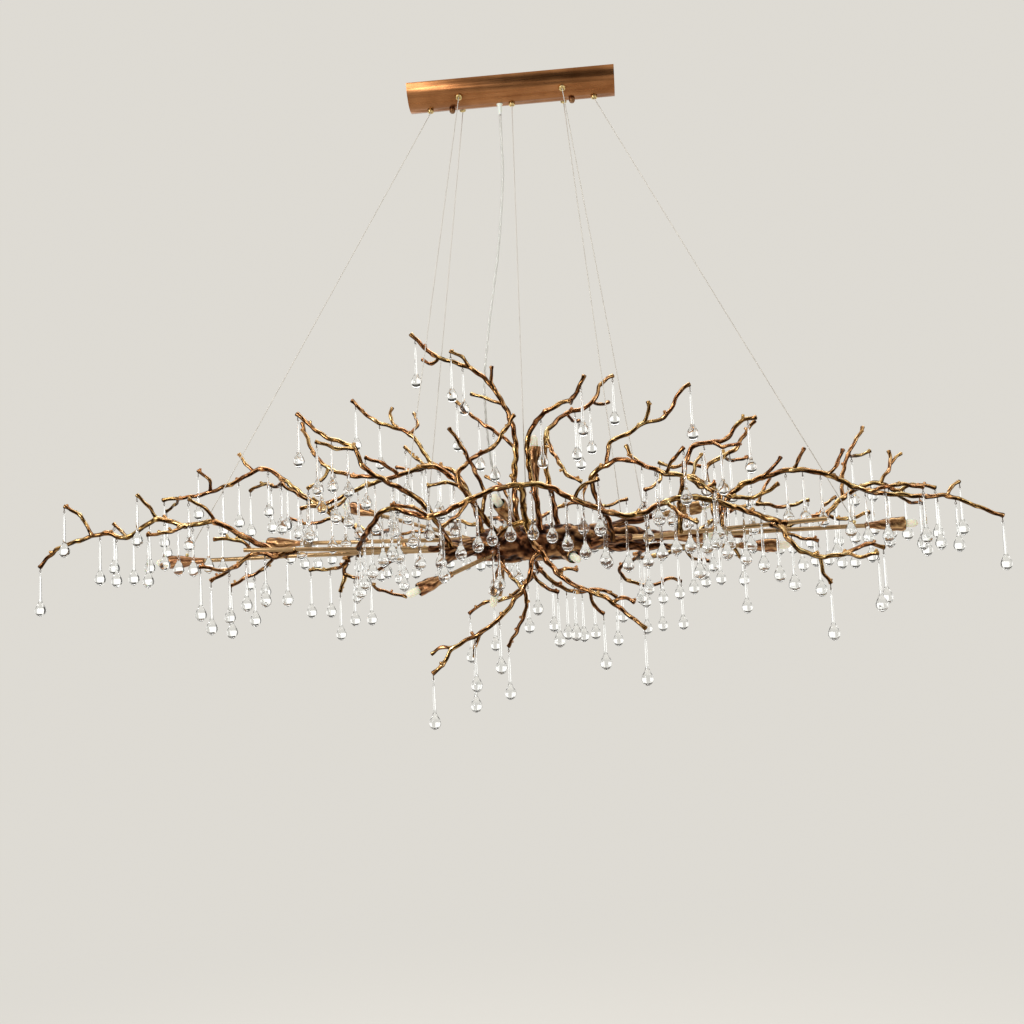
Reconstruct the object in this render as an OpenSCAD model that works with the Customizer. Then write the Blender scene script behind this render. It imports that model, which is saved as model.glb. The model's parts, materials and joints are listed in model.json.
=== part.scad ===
// Branch chandelier: cast twig sprays and glass drops under a half-round ceiling cover.
// Millimetres. The origin is the centre of the ceiling plane, +X runs along the fixture,
// +Y points away from the viewer and +Z points up, so everything hangs below z = 0.

// Name of the sub-part to draw, or "all"

/* [Suspension] */
// Distance from the ceiling down to the axis of the hub and its rods
drop_height = 900; // [700:10:2000]
// Radius of each steel suspension wire
wire_r = 0.75; // [0.5:0.05:1.5]
// Radius of the clear power cord
cord_r = 2.5; // [2:0.1:4]

/* [Ceiling cover] */
// Length of the half-round cover
cover_len = 400; // [360:5:600]
// Outer radius of the half-round cover
cover_r = 40; // [36:1:60]
// Wall thickness of the cover
cover_wall = 1.5; // [1:0.1:3]
// Distance between the two ceiling screws
screw_spacing = 300; // [200:5:340]
// Radius of each ceiling screw hole
screw_r = 2.75; // [2:0.25:4]
// Distance of the outer wires from the middle of the cover
outer_wire_x = 160; // [140:1:175]
// Distance of the paired wires from the middle of the cover
pair_wire_x = 100; // [80:1:106]
// Distance of the two cover knobs from the middle of the cover
knob_x = 117; // [112:1:130]

/* [Hub and rods] */
// Length of the bark shell round the hub
hub_len = 210; // [160:5:260]
// Mean outer radius of the bark shell
hub_r = 31; // [28:0.5:36]
// Radius of each horizontal rod
rod_r = 4; // [3:0.25:6]
// Reach of the long rods that carry only twigs
rod_reach = 520; // [480:5:560]

/* [Sockets and bulbs] */
// Outer radius of a bark socket cup
cup_r = 13; // [12:0.25:16]
// Depth of the cup
cup_depth = 24; // [20:1:30]
// Length of the taper from the cup to the rod
taper_len = 46; // [36:1:50]
// Radius of the capsule bulb
bulb_r = 7.25; // [6:0.25:8]
// Length of bulb that stands out of the cup
bulb_out = 25; // [15:1:32]

/* [Twigs] */
// Multiplies the thickness of every twig
twig_scale = 1.05; // [0.8:0.05:1.15]
// Multiplies the thickness of every twig tip
tip_scale = 1.3; // [1:0.05:1.4]
// How much thicker a twig is at its knots
knot = 0.2; // [0:0.02:0.3]
// Sections along each stretch between two hand-chosen points
sections = 2; // [1:1:4]

/* [Glass drops] */
// Distance between neighbouring drops along a twig
drop_spacing = 32; // [28:1:60]
// Radius of the round end of a drop
drop_r = 11; // [9:0.25:12]
// Length of glass from the top of its eye to the bottom
drop_len = 88; // [76:1:94]
// Radius of the thin neck
neck_r = 2.4; // [1.8:0.1:3]
// Length of the wire pin between a twig and its ring
pin_len = 7; // [6:0.5:10]

/* [Hidden] */
$fn = 32;
// small play between faces that slide or turn
play = 0.05;
// clearance kept between a hanging drop and anything beside it
air = 1.2;
cover_in = cover_r - cover_wall;
// the ceiling bracket
bracket_len = cover_len - 20;
bracket_w = 30;
bracket_t = 2.5;
mains_r = 8;
stud_r = 2.5;
knob_r = 5.5;
knob_h = 9;
// cable gripper: round button outside, barrel and nut inside, release sleeve in the button
grip_r = 4.5;
grip_len = 14;
grip_nut_r = grip_r + 2;
button_r = 6;
button_h = 5;
recess_r = 3.2;
release_r = 1.9;
// height at which a nut of that radius sits level in the curve of the cover
nut_seat = cover_r - sqrt(cover_in * cover_in - grip_nut_r * grip_nut_r);
pair_y = 26;
pair_z = -sqrt(cover_r * cover_r - pair_y * pair_y);
// place of the power cord at the cover, and its place and height where it enters the hub
cord_x = -24;
hub_entry = [-52, 14];
entry_top = 36;
entry_end = 24;
// the connector block
block_w = 36;
block_h = 15;
block_x = -74;
// inner barrel of the hub
core_r = 24;
core_len = hub_len - 14;
// wire ring and glass eye
ring_r = 2.6;
ring_wire = 0.5;
eye_r = 2.6;
eye_wire = 0.9;
eye_t = 1.6;
// height of the flat under the eye, where the neck begins
eye_flat = eye_r + eye_wire - 0.5;
// height of the ring wire's lowest point, measured down from the twig's centre line
hang_down = pin_len + 2 * ring_r;
// centre of the glass eye below that wire
eye_drop = eye_r - eye_wire - ring_wire - 0.3;

// Rods: start at the hub, end at the socket centre or at a bare tip, in the hub's frame
rods_left = [
    [[-88, 0, 0], [-693, 0, 0]],
    [[-88, 7, 13], [-515, 60, 30]],
    [[-88, 15, 5], [-370, 150, 100]],
    [[-60, -16, -12], [-195, -80, -75]],
];
rods_right = [
    [[88, 0, 0], [665, 0, 0]],
    [[88, 6, -12], [440, 30, -25]],
    [[88, -12, 7], [300, -30, -5]],
    [[88, 0, 16], [305, 60, 55]],
];
rods_centre = [
    [[-55, -5, -18], [-72, -4, -82]],
    [[-20, -16, 14], [-48, -74, 62]],
    [[10, 14, 14], [10, 18, 172]],
    [[42, -14, -8], [72, -70, -30]],
];
rods_bare = [
    [[-88, -13, -5], [-rod_reach, -105, 8]],
    [[-88, 13, -5], [-rod_reach, 105, 8]],
    [[88, -13, -5], [rod_reach, -105, 8]],
    [[88, 13, -5], [rod_reach, 105, 8]],
];

// Where each wire leaves the cover and where it ends on the fixture, in the ceiling's frame
function rod_point(rod, x) =
    rod[0] + (rod[1] - rod[0]) * (x - rod[0][0]) / (rod[1][0] - rod[0][0]);
function down(p) = [p[0], p[1], p[2] - drop_height];
wires = [
    [[-outer_wire_x, 0, -cover_r], down([-668, 0, 12])],
    [[-pair_wire_x, -pair_y, pair_z], down(rod_point(rods_bare[0], -244) + [0, 0, 8])],
    [[-pair_wire_x, pair_y, pair_z], down(rod_point(rods_bare[1], -212) + [0, 0, 8])],
    [[0, 0, -cover_r], down([-10, 0, hub_r + 4])],
    [[pair_wire_x, pair_y, pair_z], down(rod_point(rods_bare[3], 170) + [0, 0, 8])],
    [[pair_wire_x, -pair_y, pair_z], down(rod_point(rods_bare[2], 212) + [0, 0, 8])],
    [[outer_wire_x, 0, -cover_r], down([588, 0, 8])],
];

// Height of each lug from its foot on the rod or hub up to its wire, in the order of the wires
lug_heights = [6, 8, 8, 4, 8, 8, 8];

// Power cord: hand-chosen points below the cord grip, each [x, y, share of the drop height]
cord_line = [
    [cord_x, 0, 0.052], [cord_x, 0, 0.12], [cord_x - 1, 4, 0.21], [-40, 10, 0.36],
    [-66, 16, 0.53], [-80, 18, 0.66], [-76, 18, 0.80], [-60, 16, 0.90],
];

// Bark roots that grow out of the hub along the rods, written like the limbs below
root_x = hub_len / 2 - 12;
root_limbs = [
    [25, 9, [[root_x, 0, 2], [118, -3, 8], [146, 3, 5], [176, -2, 8], [206, 1, 3], [236, 0, 0]]],
    [9, 5.2, [[228, 0, 0], [262, 1, 1], [296, 0, 0]]],
    [9, 5.2, [[135, 11, 20], [165, 21, 30], [200, 31, 36], [228, 39, 41]]],
    [9, 5.2, [[140, 8, -12], [180, 12, -15], [220, 15, -17], [262, 18, -18]]],
    [10, 5.2, [[112, -15, -3], [145, -25, -3], [185, -34, -2]]],
    [10, 5.2, [[112, 15, -3], [138, 24, -3], [160, 28, -3]]],
    [20, 8, [[-root_x, 0, 2], [-118, 2, -1], [-146, -2, 3], [-176, 0, 0]]],
    [9, 5.2, [[-112, -15, -3], [-150, -26, -3], [-190, -35, -2]]],
    [9, 5.2, [[-112, 15, -3], [-145, 25, -3], [-180, 33, -2]]],
    [8, 12, [[-90, -8, -3], [-124, -18, -10], [-148, -27, -17], [-168, -34, -23]]],
];

// Twig sprays. Each limb is [root radius, tip radius, points from the root to the tip].
left_tip = [
    [5.2, 2.5, [[-470, 0, 1], [-500, -6, 14], [-553, -18, 42], [-600, -30, 70], [-655, -40, 65],
        [-710, -40, 80], [-775, -30, 50], [-815, -30, 60], [-875, -20, 50], [-925, -10, 35],
        [-965, 0, 5]]],
    [3.2, 2.2, [[-845, -25, 56], [-868, -30, 98], [-895, -40, 115]]],
    [3.0, 2.2, [[-710, -40, 80], [-722, -50, 105], [-740, -62, 126]]],
    [2.9, 2.1, [[-775, -30, 50], [-790, -15, 62], [-812, -5, 80]]],
    [3.2, 2.2, [[-655, -40, 65], [-672, -70, 52], [-706, -95, 46]]],
    [3.0, 2.2, [[-600, -30, 70], [-612, -47, 95], [-640, -62, 112]]],
];
left_upper = [
    [5.0, 2.5, [[-325, 36, 22], [-342, 38, 48], [-385, 40, 76], [-430, 45, 105], [-500, 78, 160],
        [-545, 90, 185], [-605, 72, 155], [-665, 60, 135], [-740, 60, 130]]],
    [3.0, 2.2, [[-560, 86, 178], [-578, 88, 196], [-592, 92, 218]]],
    [3.0, 2.1, [[-645, 64, 141], [-640, 52, 162], [-662, 46, 182]]],
    [2.8, 2.1, [[-705, 60, 132], [-725, 84, 122], [-752, 105, 112]]],
    [3.4, 2.2, [[-500, 78, 160], [-522, 112, 150], [-556, 134, 160], [-592, 150, 150]]],
    [3.0, 2.2, [[-430, 45, 105], [-452, 20, 120], [-480, 0, 140]]],
];
left_front = [
    [5.0, 2.5, [[-150, -26, -2], [-166, -40, 32], [-200, -62, 85], [-255, -108, 120],
        [-290, -125, 145], [-305, -130, 180], [-360, -126, 205], [-410, -120, 250]]],
    [3.6, 2.3, [[-268, -113, 128], [-312, -102, 132], [-360, -92, 150], [-390, -80, 180],
        [-405, -70, 210], [-418, -60, 243]]],
    [3.0, 2.1, [[-304, -130, 178], [-330, -155, 176], [-362, -172, 188]]],
    [3.0, 2.1, [[-360, -92, 150], [-372, -104, 128], [-394, -118, 112]]],
];
left_back = [
    [5.0, 2.5, [[-60, 20, 16], [-84, 32, 42], [-112, 46, 82], [-150, 70, 150], [-200, 90, 176],
        [-245, 110, 240], [-320, 120, 275], [-365, 120, 320]]],
    [2.8, 2.1, [[-272, 114, 256], [-286, 120, 278], [-282, 122, 300]]],
    [3.2, 2.2, [[-200, 90, 176], [-236, 118, 166], [-282, 140, 180]]],
    [3.0, 2.1, [[-245, 110, 240], [-232, 128, 262], [-242, 140, 288]]],
    [4.4, 2.3, [[-250, 48, 0], [-268, 92, 30], [-300, 140, 52], [-340, 182, 50], [-420, 205, 88],
        [-482, 205, 80], [-530, 215, 96]]],
    [3.0, 2.1, [[-420, 205, 88], [-440, 190, 112], [-470, 182, 130]]],
    [3.0, 2.1, [[-300, 140, 52], [-290, 180, 46], [-250, 212, 52], [-215, 228, 40]]],
];
left_long = [
    [5.0, 2.4, [[-92, -8, 18], [-100, -10, 56], [-116, -10, 96], [-150, -10, 135],
        [-190, -15, 155], [-245, -20, 140], [-305, -25, 125], [-340, -30, 110], [-385, -34, 92],
        [-432, -40, 86]]],
    [3.2, 2.2, [[-245, -20, 140], [-270, -42, 160], [-302, -56, 172]]],
    [3.0, 2.2, [[-340, -30, 110], [-356, -52, 86], [-388, -66, 76]]],
    [3.0, 2.1, [[-190, -15, 155], [-214, 8, 172], [-240, 22, 200]]],
];
left_low = [
    [4.6, 2.4, [[-345, 67, 1], [-372, 104, 4], [-390, 125, -16], [-395, 132, -42],
        [-406, 140, -68]]],
    [3.2, 2.2, [[-392, 129, -34], [-350, 130, -44], [-308, 122, -20], [-276, 134, -4]]],
    [3.2, 2.2, [[-380, 114, -6], [-412, 140, -20], [-470, 150, -20]]],
    [2.9, 2.1, [[-350, 130, -44], [-330, 160, -66], [-276, 176, -84]]],
    [4.6, 2.3, [[-428, -85, 5], [-470, -80, -4], [-508, -76, 4], [-540, -92, -20],
        [-582, -110, -46]]],
    [3.0, 2.1, [[-470, -80, -4], [-500, -58, -26], [-536, -50, -40], [-562, -58, -54]]],
    [3.0, 2.2, [[-508, -76, 4], [-530, -98, 26], [-572, -118, 30]]],
    [3.0, 2.1, [[-540, -92, -20], [-552, -120, -28], [-590, -140, -20]]],
];
top_spray = [
    [5.2, 2.5, [[-26, -14, 16], [-28, -25, 80], [-26, -24, 140], [-22, -18, 178], [-30, -20, 235],
        [-60, -20, 295], [-100, -20, 335], [-170, -20, 366], [-212, -20, 410]]],
    [2.8, 2.1, [[-160, -20, 362], [-176, -8, 352], [-196, 0, 364]]],
    [2.8, 2.1, [[-104, -20, 338], [-114, -30, 356], [-136, -40, 366]]],
    [2.8, 2.1, [[-58, -20, 292], [-62, -28, 312], [-58, -38, 332]]],
    [3.0, 2.2, [[-42, -20, 262], [-74, -8, 278], [-104, 4, 292]]],
    [3.2, 2.2, [[-22, -18, 178], [-50, -12, 205], [-78, -10, 226], [-106, 2, 250],
        [-136, 14, 282]]],
];
cross_spray = [
    [4.6, 2.4, [[-60, -18, 14], [-80, -50, 42], [-104, -75, 80], [-122, -78, 106],
        [-124, -72, 132], [-95, -54, 162], [-62, -48, 178], [-40, -46, 208], [-20, -46, 236]]],
    [3.4, 2.3, [[-88, -58, 54], [-80, -62, 92], [-94, -84, 132], [-114, -98, 176],
        [-134, -108, 208]]],
    [3.0, 2.1, [[-122, -78, 106], [-148, -92, 112], [-178, -108, 104]]],
];
arch_spray = [
    [4.4, 3.4, [[-318, -62, 3], [-290, -104, 30], [-245, -130, 66], [-170, -145, 46],
        [-99, -150, 70], [-45, -150, 89], [30, -150, 90], [85, -150, 62], [150, -148, 34],
        [195, -145, 30], [245, -140, 50], [295, -135, 55], [360, -125, 36], [420, -104, 14],
        [452, -91, 6]]],
    [5.2, 3.6, [[0, -20, 4], [-2, -62, 16], [-3, -105, 31], [-5, -122, 54], [-4, -140, 76],
        [-4, -151, 93]]],
    [4.6, 3.6, [[-3, -105, 31], [-30, -98, 26], [-50, -80, 15], [-65, -60, 5], [-77, -26, -3]]],
    [4.4, 3.4, [[-3, -105, 31], [0, -104, 13], [11, -100, -11], [19, -96, -21]]],
    [3.0, 2.2, [[-99, -150, 70], [-116, -166, 44], [-142, -182, 24]]],
    [3.0, 2.2, [[85, -150, 62], [100, -170, 80], [130, -190, 90]]],
    [3.0, 2.2, [[245, -140, 50], [266, -162, 24], [292, -182, 8]]],
    [3.0, 2.2, [[-170, -145, 46], [-196, -164, 62], [-232, -180, 66]]],
];
bottom_spray = [
    [4.8, 2.4, [[0, -16, -12], [12, -60, -22], [19, -96, -21], [30, -98, -38], [47, -102, -60],
        [66, -107, -78], [90, -112, -92], [130, -130, -110], [155, -136, -130],
        [196, -150, -166]]],
    [2.8, 2.1, [[47, -102, -60], [62, -115, -56], [84, -126, -60]]],
    [2.8, 2.1, [[104, -118, -98], [110, -110, -122], [126, -100, -138]]],
    [2.8, 2.1, [[142, -132, -118], [160, -138, -112], [180, -146, -120]]],
    [4.2, 2.4, [[19, -96, -21], [9, -98, -31], [2, -100, -42], [1, -100, -58], [-15, -96, -88],
        [-30, -100, -105], [-50, -105, -130], [-90, -110, -160], [-140, -115, -185],
        [-160, -120, -213], [-178, -122, -228]]],
    [3.2, 2.2, [[-15, -96, -88], [-10, -84, -108], [-18, -68, -134], [-34, -50, -162],
        [-52, -34, -188]]],
    [3.0, 2.2, [[1, -100, -58], [20, -86, -82], [46, -74, -96]]],
    [3.4, 2.4, [[-66, -14, -16], [-52, -56, -44], [-15, -96, -88]]],
    [2.8, 2.1, [[-90, -110, -160], [-104, -96, -182], [-108, -88, -204]]],
    [2.8, 2.1, [[-140, -115, -185], [-162, -104, -184], [-184, -98, -194]]],
];
centre_back = [
    [4.8, 2.4, [[-26, 16, 8], [-38, 58, 28], [-60, 108, 52], [-92, 150, 66], [-132, 188, 58],
        [-172, 210, 70], [-206, 240, 66]]],
    [3.4, 2.3, [[-38, 58, 28], [10, 92, 56], [52, 128, 80], [92, 160, 88], [132, 184, 80],
        [182, 205, 96]]],
    [3.2, 2.2, [[-60, 108, 52], [-52, 130, 90], [-70, 146, 130], [-102, 160, 152]]],
    [3.0, 2.2, [[92, 160, 88], [100, 172, 122], [126, 178, 146]]],
    [4.2, 2.3, [[-12, 18, -10], [6, 56, -46], [36, 86, -76], [72, 112, -92], [116, 138, -88],
        [150, 150, -104]]],
    [3.2, 2.2, [[6, 56, -46], [-30, 86, -78], [-70, 108, -100], [-112, 130, -104],
        [-144, 138, -124]]],
];
right_up = [
    [4.8, 2.4, [[18, -16, 16], [12, -32, 80], [2, -34, 140], [2, -38, 190], [20, -50, 220],
        [40, -65, 235], [65, -75, 245], [92, -92, 252], [100, -106, 262], [114, -120, 284]]],
    [2.6, 2.0, [[78, -82, 249], [88, -100, 240], [90, -122, 244]]],
    [4.8, 2.4, [[48, 12, 16], [44, 0, 62], [36, -10, 110], [30, 0, 160], [34, 14, 208],
        [52, 24, 230], [75, 30, 248], [105, 40, 256], [130, 45, 275], [142, 58, 306],
        [166, 74, 324]]],
    [2.8, 2.1, [[124, 44, 270], [140, 62, 266], [156, 80, 274]]],
    [3.4, 2.3, [[34, 14, 205], [44, -8, 172], [58, -26, 146], [72, -42, 120], [98, -56, 104]]],
    [2.8, 2.1, [[75, 30, 248], [84, 52, 236], [96, 76, 240]]],
];
right_mid = [
    [4.6, 2.4, [[150, -27, -3], [142, -66, 30], [124, -104, 68], [118, -128, 102],
        [146, -142, 120], [180, -152, 125], [245, -166, 96], [285, -174, 85], [322, -188, 56]]],
    [3.4, 2.2, [[146, -142, 120], [150, -140, 150], [162, -142, 165], [185, -145, 171],
        [210, -150, 186], [248, -155, 194], [265, -157, 215], [280, -160, 240], [296, -160, 248]]],
    [2.8, 2.1, [[212, -150, 186], [222, -158, 204], [222, -164, 222]]],
    [2.8, 2.1, [[245, -166, 96], [258, -184, 116], [276, -196, 134]]],
    [2.8, 2.1, [[285, -174, 85], [302, -160, 70], [330, -150, 74]]],
];
right_centre = [
    [4.6, 2.4, [[330, -64, 2], [340, -63, 36], [342, -60, 68], [300, -46, 100], [245, -32, 116],
        [200, -14, 142], [182, -4, 172]]],
    [3.6, 2.4, [[342, -60, 68], [376, -62, 58], [410, -70, 58], [446, -82, 76]]],
    [3.0, 2.2, [[245, -32, 116], [236, -54, 94], [212, -74, 80]]],
    [2.8, 2.1, [[300, -46, 100], [306, -36, 126], [320, -22, 146]]],
];
right_loop = [
    [4.6, 2.4, [[270, -52, 0], [272, -64, 52], [280, -76, 96], [287, -82, 130], [305, -84, 154],
        [335, -82, 157], [362, -84, 163], [382, -88, 188], [412, -96, 196]]],
    [2.8, 2.1, [[335, -82, 157], [352, -98, 146], [380, -112, 148]]],
    [4.6, 2.4, [[345, 24, -21], [340, 28, 40], [334, 36, 94], [332, 44, 128], [365, 50, 150],
        [390, 55, 163], [408, 58, 188], [430, 62, 216]]],
    [3.2, 2.2, [[332, 44, 128], [300, 50, 140], [270, 62, 136], [246, 80, 150]]],
    [3.0, 2.2, [[365, 50, 150], [386, 76, 144], [418, 98, 152]]],
];
right_tip = [
    [5.2, 2.5, [[350, 0, 1], [354, -4, 32], [362, -8, 62], [388, -18, 84], [425, -30, 95],
        [480, -40, 105], [540, -40, 92], [585, -30, 70], [625, -22, 57], [665, -16, 52],
        [715, -12, 46], [755, -10, 45], [805, -4, 24], [850, 0, 4]]],
    [2.8, 2.1, [[752, -10, 45], [765, 0, 62], [782, 8, 72]]],
    [2.8, 2.1, [[425, -30, 95], [440, -46, 108], [456, -60, 126]]],
    [2.8, 2.1, [[480, -40, 105], [488, -54, 122], [498, -60, 140]]],
    [2.8, 2.1, [[540, -40, 92], [556, -48, 110], [566, -52, 136]]],
    [3.2, 2.2, [[585, -30, 70], [610, -56, 58], [652, -78, 64], [690, -92, 54]]],
    [2.8, 2.1, [[665, -16, 52], [690, 10, 40], [722, 30, 38]]],
];
right_twigs = [
    [4.6, 2.4, [[530, 0, 1], [545, 22, 26], [578, 36, 56], [615, 42, 76], [650, 48, 82],
        [680, 52, 66], [712, 58, 76], [756, 68, 70]]],
    [3.0, 2.2, [[650, 48, 82], [668, 52, 104], [676, 60, 122], [676, 66, 144]]],
    [2.4, 1.9, [[675, 58, 118], [686, 64, 128], [698, 66, 138]]],
    [3.4, 2.2, [[578, 36, 56], [584, 54, 98], [600, 66, 140], [620, 76, 170], [636, 84, 194]]],
    [2.8, 2.1, [[600, 66, 140], [620, 88, 140], [650, 104, 150]]],
];
right_low = [
    [4.4, 2.3, [[428, -85, 5], [442, -112, -6], [450, -120, -26], [470, -122, -45],
        [502, -122, -58], [545, -120, -54], [582, -112, -40], [612, -104, -46]]],
    [2.8, 2.1, [[444, -115, -12], [474, -100, -22], [506, -88, -28]]],
    [2.8, 2.1, [[502, -122, -58], [503, -120, -80], [516, -116, -104]]],
    [2.8, 2.1, [[545, -120, -54], [562, -142, -62], [590, -158, -58]]],
];
right_back = [
    [4.6, 2.4, [[218, 41, -1], [206, 82, -16], [196, 124, -30], [228, 152, -28], [290, 156, -14],
        [340, 150, 6], [402, 140, 2]]],
    [3.4, 2.2, [[196, 124, -30], [160, 158, -46], [172, 184, -70], [220, 192, -85],
        [256, 196, -72], [282, 206, -78]]],
    [3.2, 2.2, [[372, 74, 4], [380, 84, -26], [398, 96, -52]]],
    [4.4, 2.3, [[300, 58, 1], [330, 106, 24], [380, 152, 54], [440, 176, 68], [492, 192, 60],
        [545, 200, 72]]],
    [3.0, 2.1, [[440, 176, 68], [456, 188, 98], [472, 200, 122]]],
    [3.0, 2.1, [[380, 152, 54], [364, 180, 70], [330, 204, 92]]],
    [3.0, 2.1, [[290, 156, -14], [306, 180, -34], [340, 200, -40]]],
    [4.2, 2.3, [[470, 94, 6], [500, 112, 20], [550, 128, 34], [600, 132, 24], [648, 140, 36]]],
    [2.8, 2.1, [[550, 128, 34], [566, 146, 56], [590, 156, 70]]],
];
sprays = [
    left_tip, left_upper, left_front, left_back, left_long, left_low, top_spray, cross_spray,
    arch_spray, bottom_spray, centre_back, right_up, right_mid, right_centre, right_loop,
    right_tip, right_twigs, right_low, right_back,
];

// A smooth curve through hand-chosen points: i is the stretch, t runs from 0 to 1 along it
function pick(line, i) = line[max(0, min(len(line) - 1, i))];
function curve(line, i, t) =
    let (a = pick(line, i - 1), b = pick(line, i), c = pick(line, i + 1), d = pick(line, i + 2))
    0.5 * (2 * b + (c - a) * t + (2 * a - 5 * b + 4 * c - d) * t * t
        + (3 * b - a - 3 * c + d) * t * t * t);
function trace(line, steps) = [
    for (i = [0 : len(line) - 2], j = [0 : steps - 1]) curve(line, i, j / steps),
    line[len(line) - 1],
];
function unit(v) = v / norm(v);

// Radius along a limb: an even taper, thicker at each hand-chosen point
function taper(limb, share) = twig_scale * (limb[0] + (limb[1] * tip_scale - limb[0]) * share);
function limb_r(limb, k, last, steps) =
    taper(limb, k / last) * (k % steps == 0 && k > 0 && k < last ? 1 + knot : 1);

// One ring of points round a line, square to its direction
function ring_points(centre, along, r, sides) =
    let (a = unit(cross([0.13, 0.97, 0.2], along)), b = cross(along, a))
    [for (s = [0 : sides - 1]) centre + r * (a * cos(360 * s / sides) + b * sin(360 * s / sides))];

// A closed tube through a list of points, with its own radius at each point
module tube(points, radii, sides) {
    last = len(points) - 1;
    skin = [
        for (k = [0 : last])
            let (along = unit(points[min(k + 1, last)] - points[max(k - 1, 0)]))
            each ring_points(points[k], along, radii[k], sides)
    ];
    walls = [
        for (k = [0 : last - 1], s = [0 : sides - 1])
            let (p = k * sides + s, q = k * sides + (s + 1) % sides)
            each [[p, p + sides, q + sides], [p, q + sides, q]]
    ];
    first_end = [for (s = [0 : sides - 1]) s];
    last_end = [for (s = [sides - 1 : -1 : 0]) last * sides + s];
    polyhedron(skin, concat(walls, [first_end, last_end]), 4);
}

module limb(l) {
    points = trace(l[2], sections);
    last = len(points) - 1;
    tube(points, [for (k = [0 : last]) limb_r(l, k, last, sections)], 6);
}

// A bark root is rounder than a twig and swells less at its knots
function root_r(l, share) = l[0] + (l[1] - l[0]) * share;
module root(l) {
    steps = 3;
    points = trace(l[2], steps);
    last = len(points) - 1;
    tube(points,
        [for (k = [0 : last]) root_r(l, k / last) * (k % steps == 1 ? 1 + knot / 2 : 1)], 10);
}

module spray(limbs) {
    color("darkgoldenrod")
        translate([0, 0, -drop_height])
            union() {
                for (l = limbs)
                    limb(l);
            }
}

// Clear space for the drops: everything solid is sampled as [x, y, z, radius]
limbs_all = [for (s = sprays) each s];
function limb_cloud(l) =
    let (p = trace(l[2], 10), last = len(p) - 1)
    [for (k = [0 : last]) [p[k][0], p[k][1], p[k][2], taper(l, k / last) * (1 + knot)]];
function root_cloud(l) =
    let (p = trace(l[2], 4), last = len(p) - 1)
    [for (k = [0 : last]) [p[k][0], p[k][1], p[k][2], root_r(l, k / last) * (1 + knot)]];
function rod_cloud(rod, r) =
    let (n = ceil(norm(rod[1] - rod[0]) / 10))
    [for (k = [0 : n]) let (p = rod[0] + (rod[1] - rod[0]) * k / n) [p[0], p[1], p[2], r]];
function socket_cloud(rod) =
    let (u = unit(rod[1] - rod[0]))
    [for (k = [-taper_len - 14 : 6 : 14 + bulb_out])
        let (p = rod[1] + u * k,
            sleeve_r = max(rod_r + 1, cup_r + 1 + min(0, k + cup_depth / 2) * 0.2))
        [p[0], p[1], p[2], k > 16 ? bulb_r : sleeve_r]];
function wire_cloud(w) =
    let (q = w[1] + [0, 0, drop_height], p = w[0] + [0, 0, drop_height], u = unit(p - q))
    [for (k = [0 : 8 : 480]) let (c = q + u * k) [c[0], c[1], c[2], 4]];
clouds = concat(
    [for (l = limbs_all) limb_cloud(l)],
    [for (l = root_limbs) root_cloud(l)],
    [for (r = concat(rods_left, rods_right, rods_centre, rods_bare)) rod_cloud(r, rod_r)],
    [for (r = concat(rods_left, rods_right, rods_centre)) socket_cloud(r)],
    [for (w = wires) wire_cloud(w)],
    [[for (x = [-hub_len / 2 : 10 : hub_len / 2]) [x, 0, 0, hub_r + 4]]]
);
function low(cloud, i) = min([for (c = cloud) c[i]]);
function high(cloud, i) = max([for (c = cloud) c[i]]);
boxes = [for (c = clouds) [low(c, 0), high(c, 0), low(c, 1), high(c, 1), low(c, 2), high(c, 2)]];

// Radius of the hanging drop, h below the twig's centre line
full_len = hang_down + drop_len;
function drop_width(h) =
    h < hang_down - 4 ? ring_r + ring_wire
    : h < full_len - 3.2 * drop_r ? eye_r + eye_wire
    : h < full_len + 3 ? drop_r : 0;
function near(p, box) =
    p[0] > box[0] - 40 && p[0] < box[1] + 40 && p[1] > box[2] - 40 && p[1] < box[3] + 40
    && p[2] > box[4] - 40 && p[2] - full_len < box[5] + 40;
function touches(p, cloud, from_h) =
    len([
        for (c = cloud)
            let (h = p[2] - c[2], w = drop_width(h))
            if (h > from_h - c[3] && w > 0
                && norm([p[0] - c[0], p[1] - c[1]]) < w + c[3] + air) 1
    ]) > 0;
function is_clear(p, skip) =
    len([
        for (i = [0 : len(clouds) - 1])
            if (near(p, boxes[i]) && touches(p, clouds[i], i == skip ? 12 : 0)) 1
    ]) == 0;

// Two drops hang apart when neither glass reaches into the other's space
function apart(p, q) =
    norm([p[0] - q[0], p[1] - q[1]]) > 2 * drop_r + 2
    || (abs(p[2] - q[2]) > 2.6 * drop_r
        && norm([p[0] - q[0], p[1] - q[1]]) > drop_r + eye_r + 4);

// Places to hang a drop on a limb: its tip first, then at even steps towards the root
function hang_places(l) =
    let (line = l[2], last = len(line) - 1)
    [
        curve(line, last - 1, 0.94),
        for (i = [last - 1 : -1 : 0])
            let (n = max(1, round(norm(line[i + 1] - line[i]) / drop_spacing)))
            for (j = [n - 1 : -1 : 0]) curve(line, i, (j + 0.5) / n)
    ];
places = [
    for (i = [0 : len(limbs_all) - 1], p = hang_places(limbs_all[i]))
        if (is_clear(p, i)) p
];

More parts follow.
